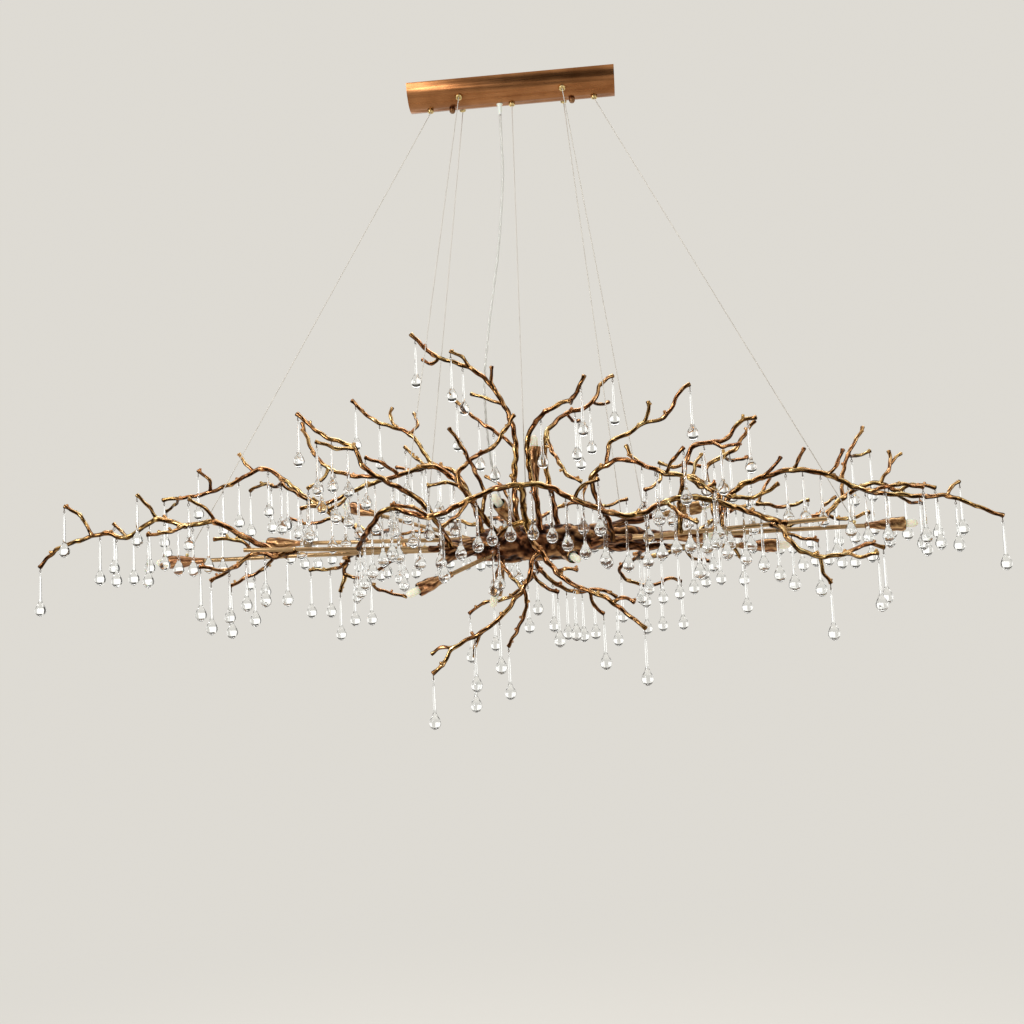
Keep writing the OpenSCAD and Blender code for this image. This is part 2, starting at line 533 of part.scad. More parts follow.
// Drops near the free ends of the twigs swing on hinges of their own: rough places, each
// moved to the nearest place where a drop can hang
swing_at = [
    [-962, 0, 6], [-895, -40, 115], [-740, 60, 130], [-410, -120, 250], [-210, -20, 408],
    [-178, -122, -228], [196, -150, -166], [114, -120, 283], [296, -160, 248], [850, 0, 4],
    [516, -116, -103],
];
swing_reach = 56;
function nearest(p, list) =
    let (d = [for (q = list) norm(p - q)], m = min(d))
    [for (i = [0 : len(d) - 1]) if (d[i] == m) list[i]][0];
swing_places = [for (p = swing_at) nearest(p, places)];
function keep_off(p) =
    len([
        for (q = swing_places)
            if (abs(p[0] - q[0]) < swing_reach && abs(p[1] - q[1]) < 2 * drop_r + 3
                && abs(p[2] - q[2]) < full_len) 1
    ]) == 0;
function choose(list, i, kept) =
    i == len(list) ? kept
    : choose(list, i + 1,
        keep_off(list[i]) && len([for (q = kept) if (!apart(list[i], q)) 1]) == 0
        ? concat(kept, [list[i]]) : kept);
fixed_places = choose(places, 0, []);

// Outline of a drop under its eye: a narrow root, the long neck and the flaring shoulder
function drop_outline() =
    let (root = -eye_flat, belly = -(drop_len - eye_r - eye_wire) + drop_r,
        shoulder = belly + 1.85 * drop_r, join = 40, rim = drop_r * cos(join),
        rim_z = belly + drop_r * sin(join))
    concat(
        [[0, root], [eye_t / 2 - 0.05, root], [neck_r, root - 5], [neck_r * 1.1, shoulder + 6]],
        [for (t = [0.2 : 0.2 : 0.8])
            [neck_r * 1.1 + (rim - neck_r * 1.1) * t * t * (2.1 - 1.1 * t),
                shoulder + (rim_z - shoulder) * t]],
        [[rim, rim_z], [0, rim_z]]
    );

// A drop hung at a place on a twig; the flat eye lies in the X and Z plane
module glass_drop(p) {
    translate([p[0], p[1], p[2] - drop_height - hang_down - eye_drop]) {
        difference() {
            rotate([90, 0, 0])
                cylinder(r = eye_r + eye_wire, h = eye_t, center = true);
            rotate([90, 0, 0])
                cylinder(r = eye_r - eye_wire, h = eye_t + 2, center = true);
            translate([-5, -5, -eye_flat - 5])
                cube([10, 10, 5]);
        }
        rotate_extrude()
            polygon(drop_outline());
        translate([0, 0, -(drop_len - eye_r - eye_wire) + drop_r])
            sphere(r = drop_r);
    }
}

// The pin and ring that carry a drop; the ring lies in the Y and Z plane
module hook(p) {
    translate([p[0], p[1], p[2] - drop_height]) {
        translate([0, 0, -pin_len + ring_wire + play])
            cylinder(r = 0.7, h = pin_len - ring_wire - play);
        translate([0, 0, -pin_len - ring_r])
            rotate([0, 90, 0])
                rotate_extrude($fn = 24)
                    translate([ring_r, 0])
                        circle(r = ring_wire, $fn = 16);
    }
}

module hooks_between(x0, x1) {
    color("saddlebrown")
        for (p = concat(fixed_places, swing_places))
            if (p[0] >= x0 && p[0] < x1)
                hook(p);
}

module drops_between(x0, x1) {
    color([0.9, 0.94, 0.95, 0.5])
        for (p = fixed_places)
            if (p[0] >= x0 && p[0] < x1)
                glass_drop(p);
}

module swinging_drop(i) {
    color([0.9, 0.94, 0.95, 0.5])
        glass_drop(swing_places[i]);
}

// Turn +Z onto the direction from p to q, standing at p
module toward(p, q) {
    v = q - p;
    translate(p)
        rotate([0, acos(v[2] / norm(v)), atan2(v[1], v[0])])
            children();
}

// A rod drawn short of its far end by the given length
module rod(line, short) {
    toward(line[0], line[1])
        cylinder(r = rod_r, h = norm(line[1] - line[0]) - short);
}

// Rods that carry a socket stop inside its taper; bare rods run their full length
module arm_rods(with_socket, bare) {
    color("peru")
        translate([0, 0, -drop_height]) {
            for (r = with_socket)
                rod(r, cup_depth / 2 + 6);
            for (r = bare)
                rod(r, 0);
        }
}

// Stand at a wire's hole in the cover, with +Z pointing into the cover
function wire_lean(w) = asin(w[0][1] / cover_r);
module on_cover(w) {
    translate(w[0])
        rotate([wire_lean(w), 0, 0])
            children();
}

// Half-round cover with flat ends, open against the ceiling
module canopy_cover() {
    color("peru")
        difference() {
            rotate([0, 90, 0])
                cylinder(r = cover_r, h = cover_len, center = true, $fn = 96);
            rotate([0, 90, 0])
                cylinder(r = cover_in, h = cover_len - 2 * cover_wall, center = true, $fn = 96);
            translate([-cover_len, -cover_r - 1, 0])
                cube([2 * cover_len, 2 * cover_r + 2, cover_r + 1]);
            for (w = wires)
                on_cover(w)
                    translate([0, 0, -1])
                        cylinder(r = grip_r + play, h = cover_wall + 3);
            for (x = [-knob_x, knob_x])
                translate([x, 0, -cover_r - 1])
                    cylinder(r = stud_r + 0.5, h = cover_r);
            translate([cord_x, 0, -cover_r - 1])
                cylinder(r = 5, h = cover_r);
        }
}

// Flat bracket on the ceiling with its two screw holes and the hole for the mains cable
module ceiling_bracket() {
    color("silver")
        difference() {
            translate([-bracket_len / 2, -bracket_w / 2, -bracket_t])
                cube([bracket_len, bracket_w, bracket_t]);
            for (x = [-screw_spacing / 2, screw_spacing / 2])
                translate([x, 0, -bracket_t - 1])
                    cylinder(r = screw_r, h = bracket_t + 2);
            translate([0, 0, -bracket_t - 1])
                cylinder(r = mains_r, h = bracket_t + 2);
            for (x = [-knob_x, knob_x])
                translate([x, 0, -bracket_t - 1])
                    cylinder(r = stud_r, h = bracket_t + 2);
        }
}

// Two threaded studs with a hexagon nut under the bracket
module bracket_studs() {
    color("gainsboro")
        for (x = [-knob_x, knob_x])
            translate([x, 0, 0]) {
                translate([0, 0, -cover_r - 6])
                    cylinder(r = stud_r, h = cover_r + 6);
                translate([0, 0, -bracket_t - 4])
                    cylinder(r = 5, h = 4, $fn = 6);
            }
}

// Round knob that holds the cover up against the ceiling
module knob_at(x) {
    color("sienna")
        translate([x, 0, -cover_r - 0.3 - knob_h])
            difference() {
                union() {
                    translate([0, 0, 2])
                        cylinder(r = knob_r, h = knob_h - 2);
                    translate([0, 0, 0.5])
                        cylinder(r1 = knob_r - 1.5, r2 = knob_r, h = 1.5);
                    cylinder(r = knob_r - 1.5, h = 0.5);
                    for (a = [0 : 30 : 330])
                        rotate([0, 0, a])
                            translate([knob_r - 0.15, 0, 3])
                                cylinder(r = 0.45, h = knob_h - 4.5);
                }
                translate([0, 0, 2.5])
                    cylinder(r = stud_r + play, h = knob_h);
            }
}

module canopy_knob_left() {
    knob_at(-knob_x);
}

module canopy_knob_right() {
    knob_at(knob_x);
}

// Connector block under the bracket with its row of clamp holes
module terminal_block() {
    color("whitesmoke")
        difference() {
            translate([block_x - block_w / 2, -9, -bracket_t - block_h])
                cube([block_w, 18, block_h]);
            for (i = [-1 : 1])
                translate([block_x + 11 * i, 0, -bracket_t - block_h - 1]) {
                    cylinder(r = 2, h = 9);
                    translate([0, 0, 7])
                        rotate([90, 0, 0])
                            cylinder(r = 2.2, h = 30, center = true);
                }
        }
}

// Tapered gland that clamps the cord in the cover, and the collar where it enters the hub
module cord_grip() {
    color("ivory") {
        translate([cord_x, 0, -cover_r])
            difference() {
                union() {
                    translate([0, 0, -21])
                        cylinder(r1 = cord_r + 0.8, r2 = 4.8, h = 20);
                    translate([0, 0, -1])
                        cylinder(r = 6, h = 0.9);
                    translate([0, 0, -1])
                        cylinder(r = 4.9, h = 12);
                    translate([0, 0, 3])
                        cylinder(r = 7, h = 4, $fn = 6);
                }
                translate([0, 0, -22])
                    cylinder(r = cord_r, h = 36);
            }
        translate([hub_entry[0], hub_entry[1], entry_end - drop_height])
            difference() {
                cylinder(r = cord_r + 1.5, h = entry_top - entry_end);
                translate([0, 0, -1])
                    cylinder(r = cord_r, h = entry_top);
            }
    }
}

// Brass grippers that lock each wire, one in each hole of the cover
module cable_grippers() {
    color("goldenrod")
        for (w = wires)
            on_cover(w)
                difference() {
                    union() {
                        translate([0, 0, -button_h])
                            cylinder(r1 = button_r - 1, r2 = button_r, h = 1);
                        translate([0, 0, 1 - button_h])
                            cylinder(r = button_r, h = button_h - 1);
                        cylinder(r = grip_r, h = grip_len);
                        translate([0, 0, nut_seat])
                            cylinder(r = grip_nut_r, h = 3, $fn = 6);
                    }
                    difference() {
                        translate([0, 0, -button_h - 1])
                            cylinder(r = recess_r, h = 4);
                        translate([0, 0, 0.4 - button_h])
                            cylinder(r = release_r, h = 4);
                    }
                    translate([0, 0, -button_h - 1])
                        cylinder(r = wire_r + play, h = button_h + grip_len + 2);
                }
}

// Steel wires: straight through the gripper, then slanting down to the fixture
module suspension_wires() {
    mouth = button_h + 0.3;
    color("lightgray")
        for (w = wires) {
            bend = w[0] + [0, w[0][1], w[0][2]] * mouth / cover_r;
            toward(bend, w[0])
                cylinder(r = wire_r, h = mouth + grip_len + 3);
            translate(bend)
                sphere(r = wire_r + 0.15);
            toward(bend, w[1])
                cylinder(r = wire_r, h = norm(w[1] - bend));
        }
}

// Clear cord: from the connector block, through the gland and down into the hub
module power_cord() {
    inside = [
        [block_x, 0, -bracket_t - block_h], [block_x + 1, 0, -25], [block_x + 10, 0, -31],
        [-50, 0, -27], [-38, 0, -17], [-29, 0, -14.5], [cord_x, 0, -21], [cord_x, 0, -30],
        [cord_x, 0, -cover_r - 4],
    ];
    outside = concat(
        [for (p = cord_line) [p[0], p[1], -p[2] * drop_height]],
        [for (z = [entry_top + 14, entry_end + 1])
            [hub_entry[0], hub_entry[1], z - drop_height]]
    );
    points = concat(trace(inside, 2), trace(outside, 6));
    color([0.92, 0.92, 0.88, 0.5])
        tube(points, [for (p = points) cord_r], 8);
}

// Small brass lugs that hold the lower ends of the wires
module wire_anchors() {
    color("goldenrod")
        for (i = [0 : len(wires) - 1]) {
            translate(wires[i][1])
                sphere(r = 3.4);
            translate(wires[i][1] - [0, 0, lug_heights[i]])
                cylinder(r = 2.2, h = lug_heights[i]);
        }
}

// Turned inner barrel that the rods are set into
module hub_core() {
    color("dimgray")
        translate([0, 0, -drop_height])
        rotate([0, 90, 0])
            difference() {
                cylinder(r = core_r, h = core_len, center = true, $fn = 64);
                for (side = [-1, 1])
                    translate([0, 0, side * (core_len / 2)])
                        cylinder(r = core_r - 3, h = 12, center = true, $fn = 64);
            }
}

// Cast bark shell round the barrel: a swelling outline with raised ridges
module hub_bark() {
    half = hub_len / 2;
    color("saddlebrown")
        translate([0, 0, -drop_height])
        rotate([0, 90, 0])
            difference() {
                union() {
                    rotate_extrude($fn = 48)
                        polygon([
                            [core_r, -half], [core_r + 2.5, -half], [hub_r - 3, -half + 14],
                            [hub_r - 1, -half * 0.6], [hub_r + 1.5, -half * 0.42],
                            [hub_r, -half * 0.18], [hub_r + 1.8, half * 0.1],
                            [hub_r - 0.5, half * 0.34], [hub_r + 1, half * 0.55],
                            [hub_r - 3.5, half - 16], [core_r + 2.5, half], [core_r, half],
                        ]);
                    for (i = [0 : 8])
                        rotate([0, 0, i * 40])
                            translate([hub_r - 1.6, 0, (i % 3 - 1) * half * 0.14])
                                rotate([(i % 4 - 1.5) * 3, 0, 0]) {
                                    cylinder(r = 3, h = half, center = true, $fn = 24);
                                    translate([0, 0, half / 2])
                                        sphere(r = 3.1, $fn = 24);
                                    translate([0, 0, -half / 2])
                                        sphere(r = 3.1, $fn = 24);
                                }
                }
                cylinder(r = core_r, h = hub_len + 2, center = true, $fn = 64);
                translate([-entry_end, hub_entry[1], hub_entry[0]])
                    rotate([0, -90, 0])
                        cylinder(r = cord_r + 1.5, h = entry_top);
            }
}

// Bark roots between the hub and the rods
module hub_roots() {
    color("saddlebrown")
        translate([0, 0, -drop_height])
            union() {
                for (l = root_limbs)
                    root(l);
            }
}

module arm_rods_left() {
    arm_rods(concat(rods_left, [rods_centre[0], rods_centre[1]]), [rods_bare[0], rods_bare[1]]);
}

module arm_rods_right() {
    arm_rods(concat(rods_right, [rods_centre[2], rods_centre[3]]), [rods_bare[2], rods_bare[3]]);
}

// Cast socket: a long taper that grips the rod and a cup for the lampholder
module socket_sleeve(line) {
    back = -cup_depth / 2;
    toward(line[1], line[1] * 2 - line[0])
        difference() {
            rotate_extrude()
                polygon([
                    [0, back - taper_len], [rod_r + 1.4, back - taper_len],
                    [rod_r + 2.2, back - taper_len * 0.72], [rod_r + 4.6, back - taper_len * 0.4],
                    [cup_r - 2.2, back - taper_len * 0.16], [cup_r - 0.4, back + 1],
                    [cup_r - 0.9, back + cup_depth * 0.4], [cup_r, back + cup_depth * 0.7],
                    [cup_r - 0.5, back + cup_depth], [0, back + cup_depth],
                ]);
            translate([0, 0, back])
                cylinder(r = cup_r - 2.4, h = cup_depth + 1);
            translate([0, 0, back - taper_len - 1])
                cylinder(r = rod_r, h = taper_len - 5);
            translate([0, 0, back - 8])
                cylinder(r = 2, h = 10);
        }
}

module socket_sleeves() {
    color("saddlebrown")
        translate([0, 0, -drop_height])
            for (r = all_sockets)
                socket_sleeve(r);
}

all_sockets = concat(rods_left, rods_right, rods_centre);
holder_h = 15;

// Ceramic lampholders, each with two pin holes
module lampholders() {
    color("whitesmoke")
        translate([0, 0, -drop_height])
            for (r = all_sockets)
                toward(r[1], r[1] * 2 - r[0])
                    translate([0, 0, -cup_depth / 2])
                        difference() {
                            cylinder(r = cup_r - 2.4, h = holder_h - 2);
                            for (x = [-2.25, 2.25])
                                translate([x, 0, 4])
                                    cylinder(r = 0.9, h = 12);
                        }
}

// Frosted capsule bulbs standing on their pins
module bulbs() {
    tall = cup_depth - holder_h + 2 + bulb_out;
    color("cornsilk")
        translate([0, 0, -drop_height])
            for (r = all_sockets)
                toward(r[1], r[1] * 2 - r[0])
                    translate([0, 0, -cup_depth / 2 + holder_h - 2]) {
                        rotate_extrude()
                            polygon(concat(
                                [[0, 0], [bulb_r - 0.6, 0], [bulb_r, 1]],
                                [for (a = [0 : 15 : 75])
                                    [bulb_r * cos(a), tall - bulb_r + bulb_r * sin(a)]],
                                [[0, tall]]
                            ));
                        for (x = [-2.25, 2.25])
                            translate([x, 0, -7])
                                cylinder(r = 0.5, h = 8);
                    }
}

module spray_left_tip() {
    spray(left_tip);
}

module spray_left_upper() {
    spray(left_upper);
}

module spray_left_front() {
    spray(left_front);
}

module spray_left_back() {
    spray(left_back);
}

module spray_left_long() {
    spray(left_long);
}

module spray_left_low() {
    spray(left_low);
}

module spray_top() {
    spray(top_spray);
}

module spray_cross() {
    spray(cross_spray);
}

module spray_arch() {
    spray(arch_spray);
}

module spray_bottom() {
    spray(bottom_spray);
}

module spray_centre_back() {
    spray(centre_back);
}

module spray_right_up() {
    spray(right_up);
}

module spray_right_mid() {
    spray(right_mid);
}

module spray_right_centre() {
    spray(right_centre);
}

module spray_right_loop() {
    spray(right_loop);
}

module spray_right_tip() {
    spray(right_tip);
}

module spray_right_twigs() {
    spray(right_twigs);
}

module spray_right_low() {
    spray(right_low);
}

module spray_right_back() {
    spray(right_back);
}

module hooks_left_end() {
    hooks_between(-1100, -430);
}

module hooks_left() {
    hooks_between(-430, -150);
}

module hooks_centre() {
    hooks_between(-150, 140);
}

module hooks_right() {
    hooks_between(140, 430);
}

module hooks_right_end() {
    hooks_between(430, 1100);
}

module drops_left_end() {
    drops_between(-1100, -560);
}

module drops_left() {
    drops_between(-560, -260);
}

module drops_left_inner() {
    drops_between(-260, -30);
}

module drops_right_inner() {
    drops_between(-30, 200);
}

module drops_right() {
    drops_between(200, 460);
}

module drops_right_end() {
    drops_between(460, 1100);
}

module swing_left_end() {
    swinging_drop(0);
}

module swing_left_fork() {
    swinging_drop(1);
}

module swing_left_back() {
    swinging_drop(2);
}

module swing_left_front() {
    swinging_drop(3);
}

module swing_top() {
    swinging_drop(4);
}

module swing_bottom_left() {
    swinging_drop(5);
}

module swing_bottom_right() {
    swinging_drop(6);
}

module swing_right_up() {
    swinging_drop(7);
}

module swing_right_mid() {
    swinging_drop(8);
}

module swing_right_end() {
    swinging_drop(9);
}

module swing_right_low() {
    swinging_drop(10);
}

canopy_cover();
ceiling_bracket();
bracket_studs();
canopy_knob_left();
canopy_knob_right();
terminal_block();
cord_grip();
cable_grippers();
suspension_wires();
power_cord();
wire_anchors();
hub_core();
hub_bark();
hub_roots();
arm_rods_left();
arm_rods_right();
socket_sleeves();
lampholders();
bulbs();
spray_left_tip();
spray_left_upper();
spray_left_front();
spray_left_back();
spray_left_long();
spray_left_low();
spray_top();
spray_cross();
spray_arch();
spray_bottom();
spray_centre_back();
spray_right_up();
spray_right_mid();
spray_right_centre();
spray_right_loop();
spray_right_tip();
spray_right_twigs();
spray_right_low();
spray_right_back();
hooks_left_end();
hooks_left();
hooks_centre();
hooks_right();
hooks_right_end();
drops_left_end();
drops_left();
drops_left_inner();
drops_right_inner();
drops_right();
drops_right_end();
swing_left_end();
swing_left_fork();
swing_left_back();
swing_left_front();
swing_top();
swing_bottom_left();
swing_bottom_right();
swing_right_up();
swing_right_mid();
swing_right_end();
swing_right_low();
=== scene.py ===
# %% [markdown]
# # A branch chandelier: cast twigs, glass drops and a half-round copper cover
#
# The real light is made in three ways. The cover, rods and wires are turned, bent or drawn.
# The twigs, hub and sockets are castings with a bark surface. The 248 drops are solid glass,
# pulled by hand and hung on wire rings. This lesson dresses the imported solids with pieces
# worked out in numpy. Each piece is a function of two numbers, how far along it and how far
# round it, so a whole surface is one array and no loop runs over its points.
#
# Everything is in metres. X runs along the fixture, Y points away from the camera, Z points
# up, and the ceiling is z = 0.

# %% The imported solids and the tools
import json
import bmesh
import bpy
import numpy as np
from mathutils import Matrix

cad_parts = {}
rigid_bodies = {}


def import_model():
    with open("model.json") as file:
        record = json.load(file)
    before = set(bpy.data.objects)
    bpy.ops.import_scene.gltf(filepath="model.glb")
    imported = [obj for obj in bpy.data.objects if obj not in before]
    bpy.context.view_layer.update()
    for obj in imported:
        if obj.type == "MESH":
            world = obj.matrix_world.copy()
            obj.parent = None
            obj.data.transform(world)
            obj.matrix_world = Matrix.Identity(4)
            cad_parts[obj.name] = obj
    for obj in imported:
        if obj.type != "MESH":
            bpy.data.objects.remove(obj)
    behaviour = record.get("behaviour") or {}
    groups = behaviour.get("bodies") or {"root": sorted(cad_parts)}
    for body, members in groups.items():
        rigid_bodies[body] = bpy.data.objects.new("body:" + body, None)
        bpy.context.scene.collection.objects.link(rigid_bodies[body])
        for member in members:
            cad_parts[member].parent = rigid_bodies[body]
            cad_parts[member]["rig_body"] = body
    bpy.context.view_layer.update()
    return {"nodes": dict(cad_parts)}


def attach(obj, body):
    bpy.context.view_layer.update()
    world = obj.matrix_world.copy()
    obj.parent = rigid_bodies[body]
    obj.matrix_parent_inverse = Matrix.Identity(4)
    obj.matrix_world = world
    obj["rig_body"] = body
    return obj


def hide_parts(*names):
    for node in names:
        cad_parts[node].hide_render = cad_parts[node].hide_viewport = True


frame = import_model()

MM = 0.001
HUB_Z = -900  # the axis of the hub, in mm below the ceiling

# %% [markdown]
# ## The camera first
#
# The photograph was taken from about two metres away and a little below the middle of the
# light, with the camera turned 5 degrees to the left and up by almost 6. The drops all hang
# straight down but lean in the picture, which gives the roll. The camera's own X axis points
# right in the picture, its Y axis up and its Z axis backwards, so its matrix has those three
# directions as columns.

# %% Camera
def new_object(name, data):
    """An object that holds the data, linked into the scene."""
    made = bpy.data.objects.new(name, data)
    bpy.context.scene.collection.objects.link(made)
    return made


def pose(x, y, z, place):
    """The matrix of an object at place whose own axes point along x, y and z."""
    columns = np.eye(4)
    columns[:3] = np.column_stack([x, y, z, place])
    return Matrix(columns.tolist())


def camera_axes(pitch, roll, yaw):
    """Forward = (sin yaw cos pitch, cos yaw cos pitch, sin pitch). Right lies level, up is
    right x forward, and the roll turns right and up about forward. Angles in degrees."""
    p, r, y = np.radians([pitch, roll, yaw])
    forward = np.array([np.sin(y) * np.cos(p), np.cos(y) * np.cos(p), np.sin(p)])
    right = np.array([np.cos(y), -np.sin(y), 0.0])
    up = np.cross(right, forward)
    return np.cos(r) * right + np.sin(r) * up, -np.sin(r) * right + np.cos(r) * up, forward


PHOTO_SIDE, FOCAL = 1024, 1100  # the photograph's side and focal length, in its pixels
SENSOR = 36.0  # mm
CAMERA_PLACE = [0.1495, -2.0475, -1.0457]
right, up, forward = camera_axes(5.733, -2.664, -5.197)
camera = new_object("camera", bpy.data.cameras.new("camera"))
camera.matrix_world = pose(right, up, -forward, CAMERA_PLACE)
camera.data.sensor_width = SENSOR
camera.data.lens = SENSOR * FOCAL / PHOTO_SIDE
bpy.context.scene.camera = camera
print("camera at", CAMERA_PLACE, "lens", round(camera.data.lens, 2), "mm")

# %% [markdown]
# ## Paths, tubes and grids
#
# Nearly every piece here is a profile carried along a path. A path is smoothed from a few
# chosen points, then sampled at even steps. Round it go the points of a ring, on two
# directions square to the path. The first of these must never turn over on the way, so it is
# worked out from the direction in which the path moves least.

# %% Smooth paths
def smooth_path(points, steps=12):
    """A curve through the points. Between b and c, with a before and d after, it is
    (2b + (c-a)t + (2a-5b+4c-d)t^2 + (3b-a-3c+d)t^3) / 2 for t from 0 to 1.
    Gives the points and, for each, its place counted in stretches from the start."""
    p = np.asarray(points, float)
    p = np.vstack([p[:1], p, p[-1:]])
    a, b, c, d = (p[i:len(p) - 3 + i, None] for i in range(4))
    t = (np.arange(steps) / steps)[None, :, None]
    curve = (2 * b + (c - a) * t + (2 * a - 5 * b + 4 * c - d) * t ** 2
             + (3 * b - a - 3 * c + d) * t ** 3) / 2
    count = np.arange((len(p) - 3) * steps + 1) / steps
    return np.vstack([curve.reshape(-1, 3), p[-1:]]), count


def even_path(points, spacing):
    """The smooth path sampled again at even distances. Gives the points, their place in
    stretches and their distance from the start."""
    curve, count = smooth_path(points)
    gone = np.concatenate([[0], np.cumsum(np.linalg.norm(np.diff(curve, axis=0), axis=1))])
    s = np.linspace(0, gone[-1], max(4, int(round(gone[-1] / spacing)) + 1))
    even = np.stack([np.interp(s, gone, curve[:, i]) for i in range(3)], axis=1)
    return even, np.interp(s, gone, count), s


# %% Rings along a path, and faces on a grid
def unit(v):
    """Each vector divided by its own length."""
    return v / np.linalg.norm(v, axis=-1, keepdims=True)


def ring_angles(sides):
    """The angles of an even ring of points, in radians."""
    return np.linspace(0, 2 * np.pi, sides, endpoint=False)


def tube_grid(path, radii, sides):
    """Point (i, j) = path[i] + radius[i, j] * (a cos angle + b sin angle), where
    a = least x along and b = along x a are square to the path, and least is the direction
    that the path moves in least; on a straight path that may be any one square to it."""
    along = unit(np.gradient(np.asarray(path, float), axis=0))
    least = np.linalg.svd(along, full_matrices=False)[2][-1]
    a = unit(np.cross(least, along))
    b = np.cross(along, a)
    angle = ring_angles(sides)[:, None]
    radii = np.asarray(radii, float)
    if radii.ndim < 2:
        radii = np.broadcast_to(radii, len(path))[:, None]
    ring = a[:, None] * np.cos(angle) + b[:, None] * np.sin(angle)
    return np.asarray(path)[:, None] + radii[..., None] * ring


def grid_faces(rows, columns, ring=False):
    """Four-sided faces between neighbouring rows; corner (i, j) is number i * columns + j.
    The last column joins the first, and in a ring the last row joins the first too."""
    i, j = np.arange(rows if ring else rows - 1)[:, None], np.arange(columns)[None]
    below, beside = (i + 1) % rows * columns, (j + 1) % columns
    i = i * columns
    return np.stack([i + j, i + beside, below + beside, below + j], -1).reshape(-1, 4)


def capped(grid, shade=None, dome=0.35):
    """A tube's grid as loose points, side faces and round ends. Each end gets a ring 0.62
    times as wide, pushed out by 0.75 * dome * radius, and a middle point at dome * radius, so
    it is closed and softly rounded. Gives (points, faces, shade), which make_piece joins."""
    rows, sides = grid.shape[:2]
    shade = np.zeros((rows, sides)) if shade is None else shade
    rings, shades, faces = [grid.reshape(-1, 3)], [shade.ravel()], [grid_faces(rows, sides)]
    start = rows * sides
    j = np.arange(sides)
    k = (j + 1) % sides
    for row, inner in ((0, 1), (rows - 1, rows - 2)):
        middle = grid[row].mean(0)
        out = unit(middle - grid[inner].mean(0))
        size = np.linalg.norm(grid[row] - middle, axis=1).mean()
        rings += [middle + (grid[row] - middle) * 0.62 + out * size * dome * 0.75,
                  (middle + out * size * dome)[None]]
        shades += [shade[row], [shade[row].mean()]]
        outer, ring, tip = row * sides, start, start + sides
        now, after = (j, k) if row else (k, j)  # the first end faces the other way
        faces += [np.stack([outer + now, outer + after, ring + after, ring + now], -1),
                  np.stack([ring + now, ring + after, np.full(sides, tip)], -1)]
        start += sides + 1
    return np.vstack(rings), faces, np.concatenate(shades)


# %% [markdown]
# ## From arrays to a finished piece
#
# A piece is often many closed shapes side by side: all the drops of one group, or all the
# limbs of one casting. Their arrays are stacked, each shape's corner numbers are moved on by
# the points before it, and the result goes into one mesh. The shade is a number per point
# that a material reads later, such as how deep a groove is.


def make_piece(name, parts, material, replaces=(), body="fixture"):
    """Joins parts, each (points, list of face arrays, shade), into one mesh at the origin."""
    points = np.vstack([p for p, _, _ in parts])
    shade = np.concatenate([np.asarray(s, float).ravel() for _, _, s in parts])
    first = np.cumsum([0] + [len(p) for p, _, _ in parts])
    faces = [row for (_, sets, _), f in zip(parts, first) for one in sets
             for row in (one + f).tolist()]
    mesh = bpy.data.meshes.new(name)
    mesh.from_pydata(points.tolist(), [], faces)
    mesh.attributes.new("shade", "FLOAT", "POINT").data.foreach_set("value", shade)
    mesh.polygons.foreach_set("use_smooth", np.full(len(mesh.polygons), True))
    mesh.materials.append(material)
    mesh.update()
    piece = new_object(name, mesh)
    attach(piece, body)
    if replaces:
        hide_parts(*replaces)
    print(f"{name}: {len(points)} points, {len(faces)} faces")
    return piece

# %% [markdown]
# ## Finishes
#
# A finish is a base colour that is never quite even, a gloss that varies a little, and a fine
# bump. The patterns are procedural: noise on the object's own coordinates, stretched along X
# for brushed metal, and the stored shade for grooves and ridges. The castings are a dark bronze
# whose colour follows the shade: dark in the grooves and gold where the surface stands proud,
# partly as patina rubbed back and partly as painted shade. On the twigs the shade also holds
# painted light, lighter on top and darker on the underside.

# %% Node helpers
def new_finish(name, color=(0.8, 0.8, 0.8), metallic=0.0, roughness=0.5, **sockets):
    """A material with one Principled shader; the values that are even all over are set on its
    own sockets. Gives the material, its node list and the shader."""
    finish = bpy.data.materials.new(name)
    finish.use_nodes = True
    shader = next(n for n in finish.node_tree.nodes if n.type == "BSDF_PRINCIPLED")
    shader.inputs["Base Color"].default_value = (*color, 1.0)
    shader.inputs["Metallic"].default_value = metallic
    shader.inputs["Roughness"].default_value = roughness
    for socket, value in sockets.items():
        shader.inputs[socket.replace("_", " ")].default_value = value
    return finish, finish.node_tree, shader


def noise(tree, scale, detail=4.0, stretch=(1, 1, 1)):
    """Noise on the object's coordinates, which are metres, so a scale of 100 is 10 mm wide."""
    where = tree.nodes.new("ShaderNodeTexCoord")
    mapping = tree.nodes.new("ShaderNodeMapping")
    mapping.inputs["Scale"].default_value = stretch
    texture = tree.nodes.new("ShaderNodeTexNoise")
    texture.inputs["Scale"].default_value = scale
    texture.inputs["Detail"].default_value = detail
    tree.links.new(where.outputs["Object"], mapping.inputs["Vector"])
    tree.links.new(mapping.outputs["Vector"], texture.inputs["Vector"])
    return texture.outputs["Fac"]


def ramp(tree, value, stops):
    """A colour for each value: stops are (value, (r, g, b)) or (value, grey)."""
    node = tree.nodes.new("ShaderNodeValToRGB")
    while len(node.color_ramp.elements) < len(stops):
        node.color_ramp.elements.new(0.5)
    for element, (place, color) in zip(node.color_ramp.elements, stops):
        color = (color,) * 3 if np.isscalar(color) else color
        element.position = place
        element.color = (*color, 1.0)
    tree.links.new(value, node.inputs["Fac"])
    return node.outputs["Color"]


def drive(tree, shader, socket, value, stops):
    """Lets a ramp over value set one of the shader's sockets."""
    tree.links.new(ramp(tree, value, stops), shader.inputs[socket])


def blend_values(tree, a, b, share):
    """a * (1 - share) + b * share, made with one Mix node on plain numbers."""
    node = tree.nodes.new("ShaderNodeMix")
    node.inputs["Factor"].default_value = share
    tree.links.new(a, node.inputs["A"])
    tree.links.new(b, node.inputs["B"])
    return node.outputs["Result"]


